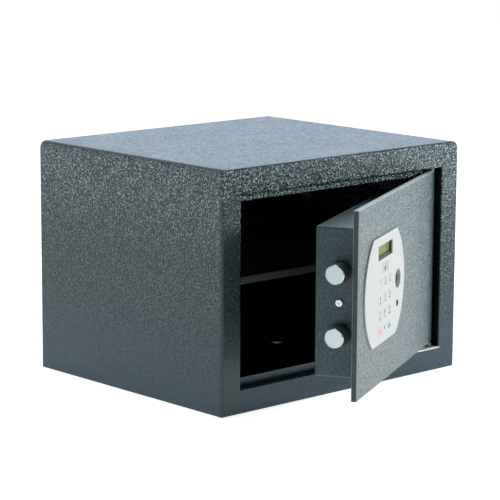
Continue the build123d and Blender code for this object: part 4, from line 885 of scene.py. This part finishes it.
# ---------------------------------------------------------------- prints on the keypad
# Places are the door's own millimetres, and positions on a print are from its middle.
FASCIA_V = -1.6
FASCIA_CENTRE_U = 200.0
KEY_PITCH_U = 17.4
KEY_PITCH_Z = 16.8
KEY_TOP_Z = 137.3
KEY_ROWS = (
    (("key_1", "1", ""), ("key_2", "2", "abc"), ("key_3", "3", "def")),
    (("key_4", "4", "ghi"), ("key_5", "5", "jkl"), ("key_6", "6", "mno")),
    (("key_7", "7", "pqrs"), ("key_8", "8", "tuv"), ("key_9", "9", "wxyz")),
    (("key_clear", "", ""), ("key_0", "0", ""), ("key_enter", "", "")),
)
DIGIT_SIZE = 5.6
DIGIT_PLACE = (0.0, 1.4)
LETTER_SIZE = 3.1
LETTER_PLACE = (0.0, -2.7)
MARK_ROW = 3
MARK_FIELD = (10.0, 4.2, 0.8)
MARK_STROKE = 0.35
CROSS = (((-1.0, -0.9), (1.0, 0.9)), ((-1.0, 0.9), (1.0, -0.9)))
TICK = (((-1.2, 0.1), (-0.4, -0.7)), ((-0.4, -0.7), (1.2, 0.9)))

PADLOCK_U = 201.0
PADLOCK_Z = 152.0
PADLOCK_BODY = (6.4, 4.2, 0.8)
PADLOCK_BODY_PLACE = (0.0, -1.2)
SHACKLE_RADIUS = 2.1
SHACKLE_THICK = 0.8
SHACKLE_PLACE = (0.0, 1.2)
SHACKLE_LEG_X = 1.7
SHACKLE_LEG_Y = (0.8, 1.3)
LINE_STARTS_X = (-9.2, 4.7)
LINE_ROWS_Y = (-1.9, 0.0, 1.9)
LINE_LENGTH = 4.5
LINE_THICK = 0.6
BORDER_OUTER = (22.0, 9.4, 1.2)
BORDER_INNER = (20.8, 8.2, 0.7)

GREY_INK = (0.018, 0.019, 0.02)
PALE_INK = (0.06, 0.062, 0.065)
RED_INK = (0.62, 0.16, 0.11)
GREEN_INK = (0.0, 0.20, 0.16)
WHITE_INK = (0.80, 0.81, 0.80)
ICON_INK = (0.10, 0.105, 0.11)
INK_GRAIN = 2500.0
INK_RANGE = (0.3, 0.7)
INK_ROUGHNESS = 0.5


def plain_print(name, colour):
    """Screen-printed ink with faint unevenness."""
    shader = Shader(name)
    grain = shader.noise(INK_GRAIN, 1.0)
    paler = tuple(min(1.0, channel * 1.25 + 0.01) for channel in colour)
    shader.colour(shader.ramp(grain, tuple(zip(INK_RANGE, (colour, paler)))))
    shader.set(Roughness=INK_ROUGHNESS)
    return shader.material


def on_key(row, column, lift=0.0):
    """Matrix of a print on the middle of a key, lifted off its face by a height."""
    u = FASCIA_CENTRE_U + (1 - column) * KEY_PITCH_U
    return facing_out(u, FASCIA_V - lift, KEY_TOP_Z - row * KEY_PITCH_Z)


def mark_key(key, column, ink, strokes):
    """Coloured field on a key with a plain white symbol over it."""
    field = joined([outline_mesh(rounded_box(*MARK_FIELD))])
    object_from(key + "_field", field, on_key(MARK_ROW, column), ink, key)
    symbol = joined([outline_mesh(bar(start, end, MARK_STROKE)) for start, end in strokes])
    white = plain_print("white_ink", WHITE_INK)
    object_from(key + "_symbol", symbol, on_key(MARK_ROW, column, PRINT_HEIGHT), white, key)


def print_keys(ink, pale_ink, red_ink, green_ink):
    """Digits and letters on the keys, and the two coloured marks on the lowest row."""
    for row, keys in enumerate(KEY_ROWS):
        for column, (key, digit, letters) in enumerate(keys):
            place = on_key(row, column)
            if digit:
                marks = joined([text_mesh(digit, DIGIT_SIZE, DIGIT_PLACE)])
                object_from(key + "_digit", marks, place, ink, key)
            if letters:
                marks = joined([text_mesh(letters, LETTER_SIZE, LETTER_PLACE)])
                object_from(key + "_letters", marks, place, pale_ink, key)
    mark_key("key_clear", 0, red_ink, CROSS)
    mark_key("key_enter", 2, green_ink, TICK)


def print_padlock(ink):
    """Small generic padlock in a thin frame between the display and the keys."""
    body = outline_mesh(rounded_box(*PADLOCK_BODY), PADLOCK_BODY_PLACE)
    shackle = outline_mesh(half_ring(SHACKLE_RADIUS, SHACKLE_THICK, SHACKLE_PLACE))
    legs = []
    for x in (-SHACKLE_LEG_X, SHACKLE_LEG_X):
        foot, head = ((x, y) for y in SHACKLE_LEG_Y)
        legs.append(outline_mesh(bar(foot, head, SHACKLE_THICK)))
    lines = []
    for x in LINE_STARTS_X:
        for y in LINE_ROWS_Y:
            lines.append(outline_mesh(bar((x, y), (x + LINE_LENGTH, y), LINE_THICK)))
    border = band_mesh(rounded_box(*BORDER_OUTER), rounded_box(*BORDER_INNER))
    mesh = joined([body, shackle, *legs, *lines, border])
    object_from("padlock_print", mesh, facing_out(PADLOCK_U, FASCIA_V, PADLOCK_Z), ink, "door")


def print_everything():
    ink = plain_print("grey_ink", GREY_INK)
    pale_ink = plain_print("pale_ink", PALE_INK)
    red_ink = plain_print("red_ink", RED_INK)
    green_ink = plain_print("green_ink", GREEN_INK)
    print_keys(ink, pale_ink, red_ink, green_ink)
    print_padlock(plain_print("icon_ink", ICON_INK))


make_camera()
make_lights()
make_floor()
paint_everything()
print_everything()
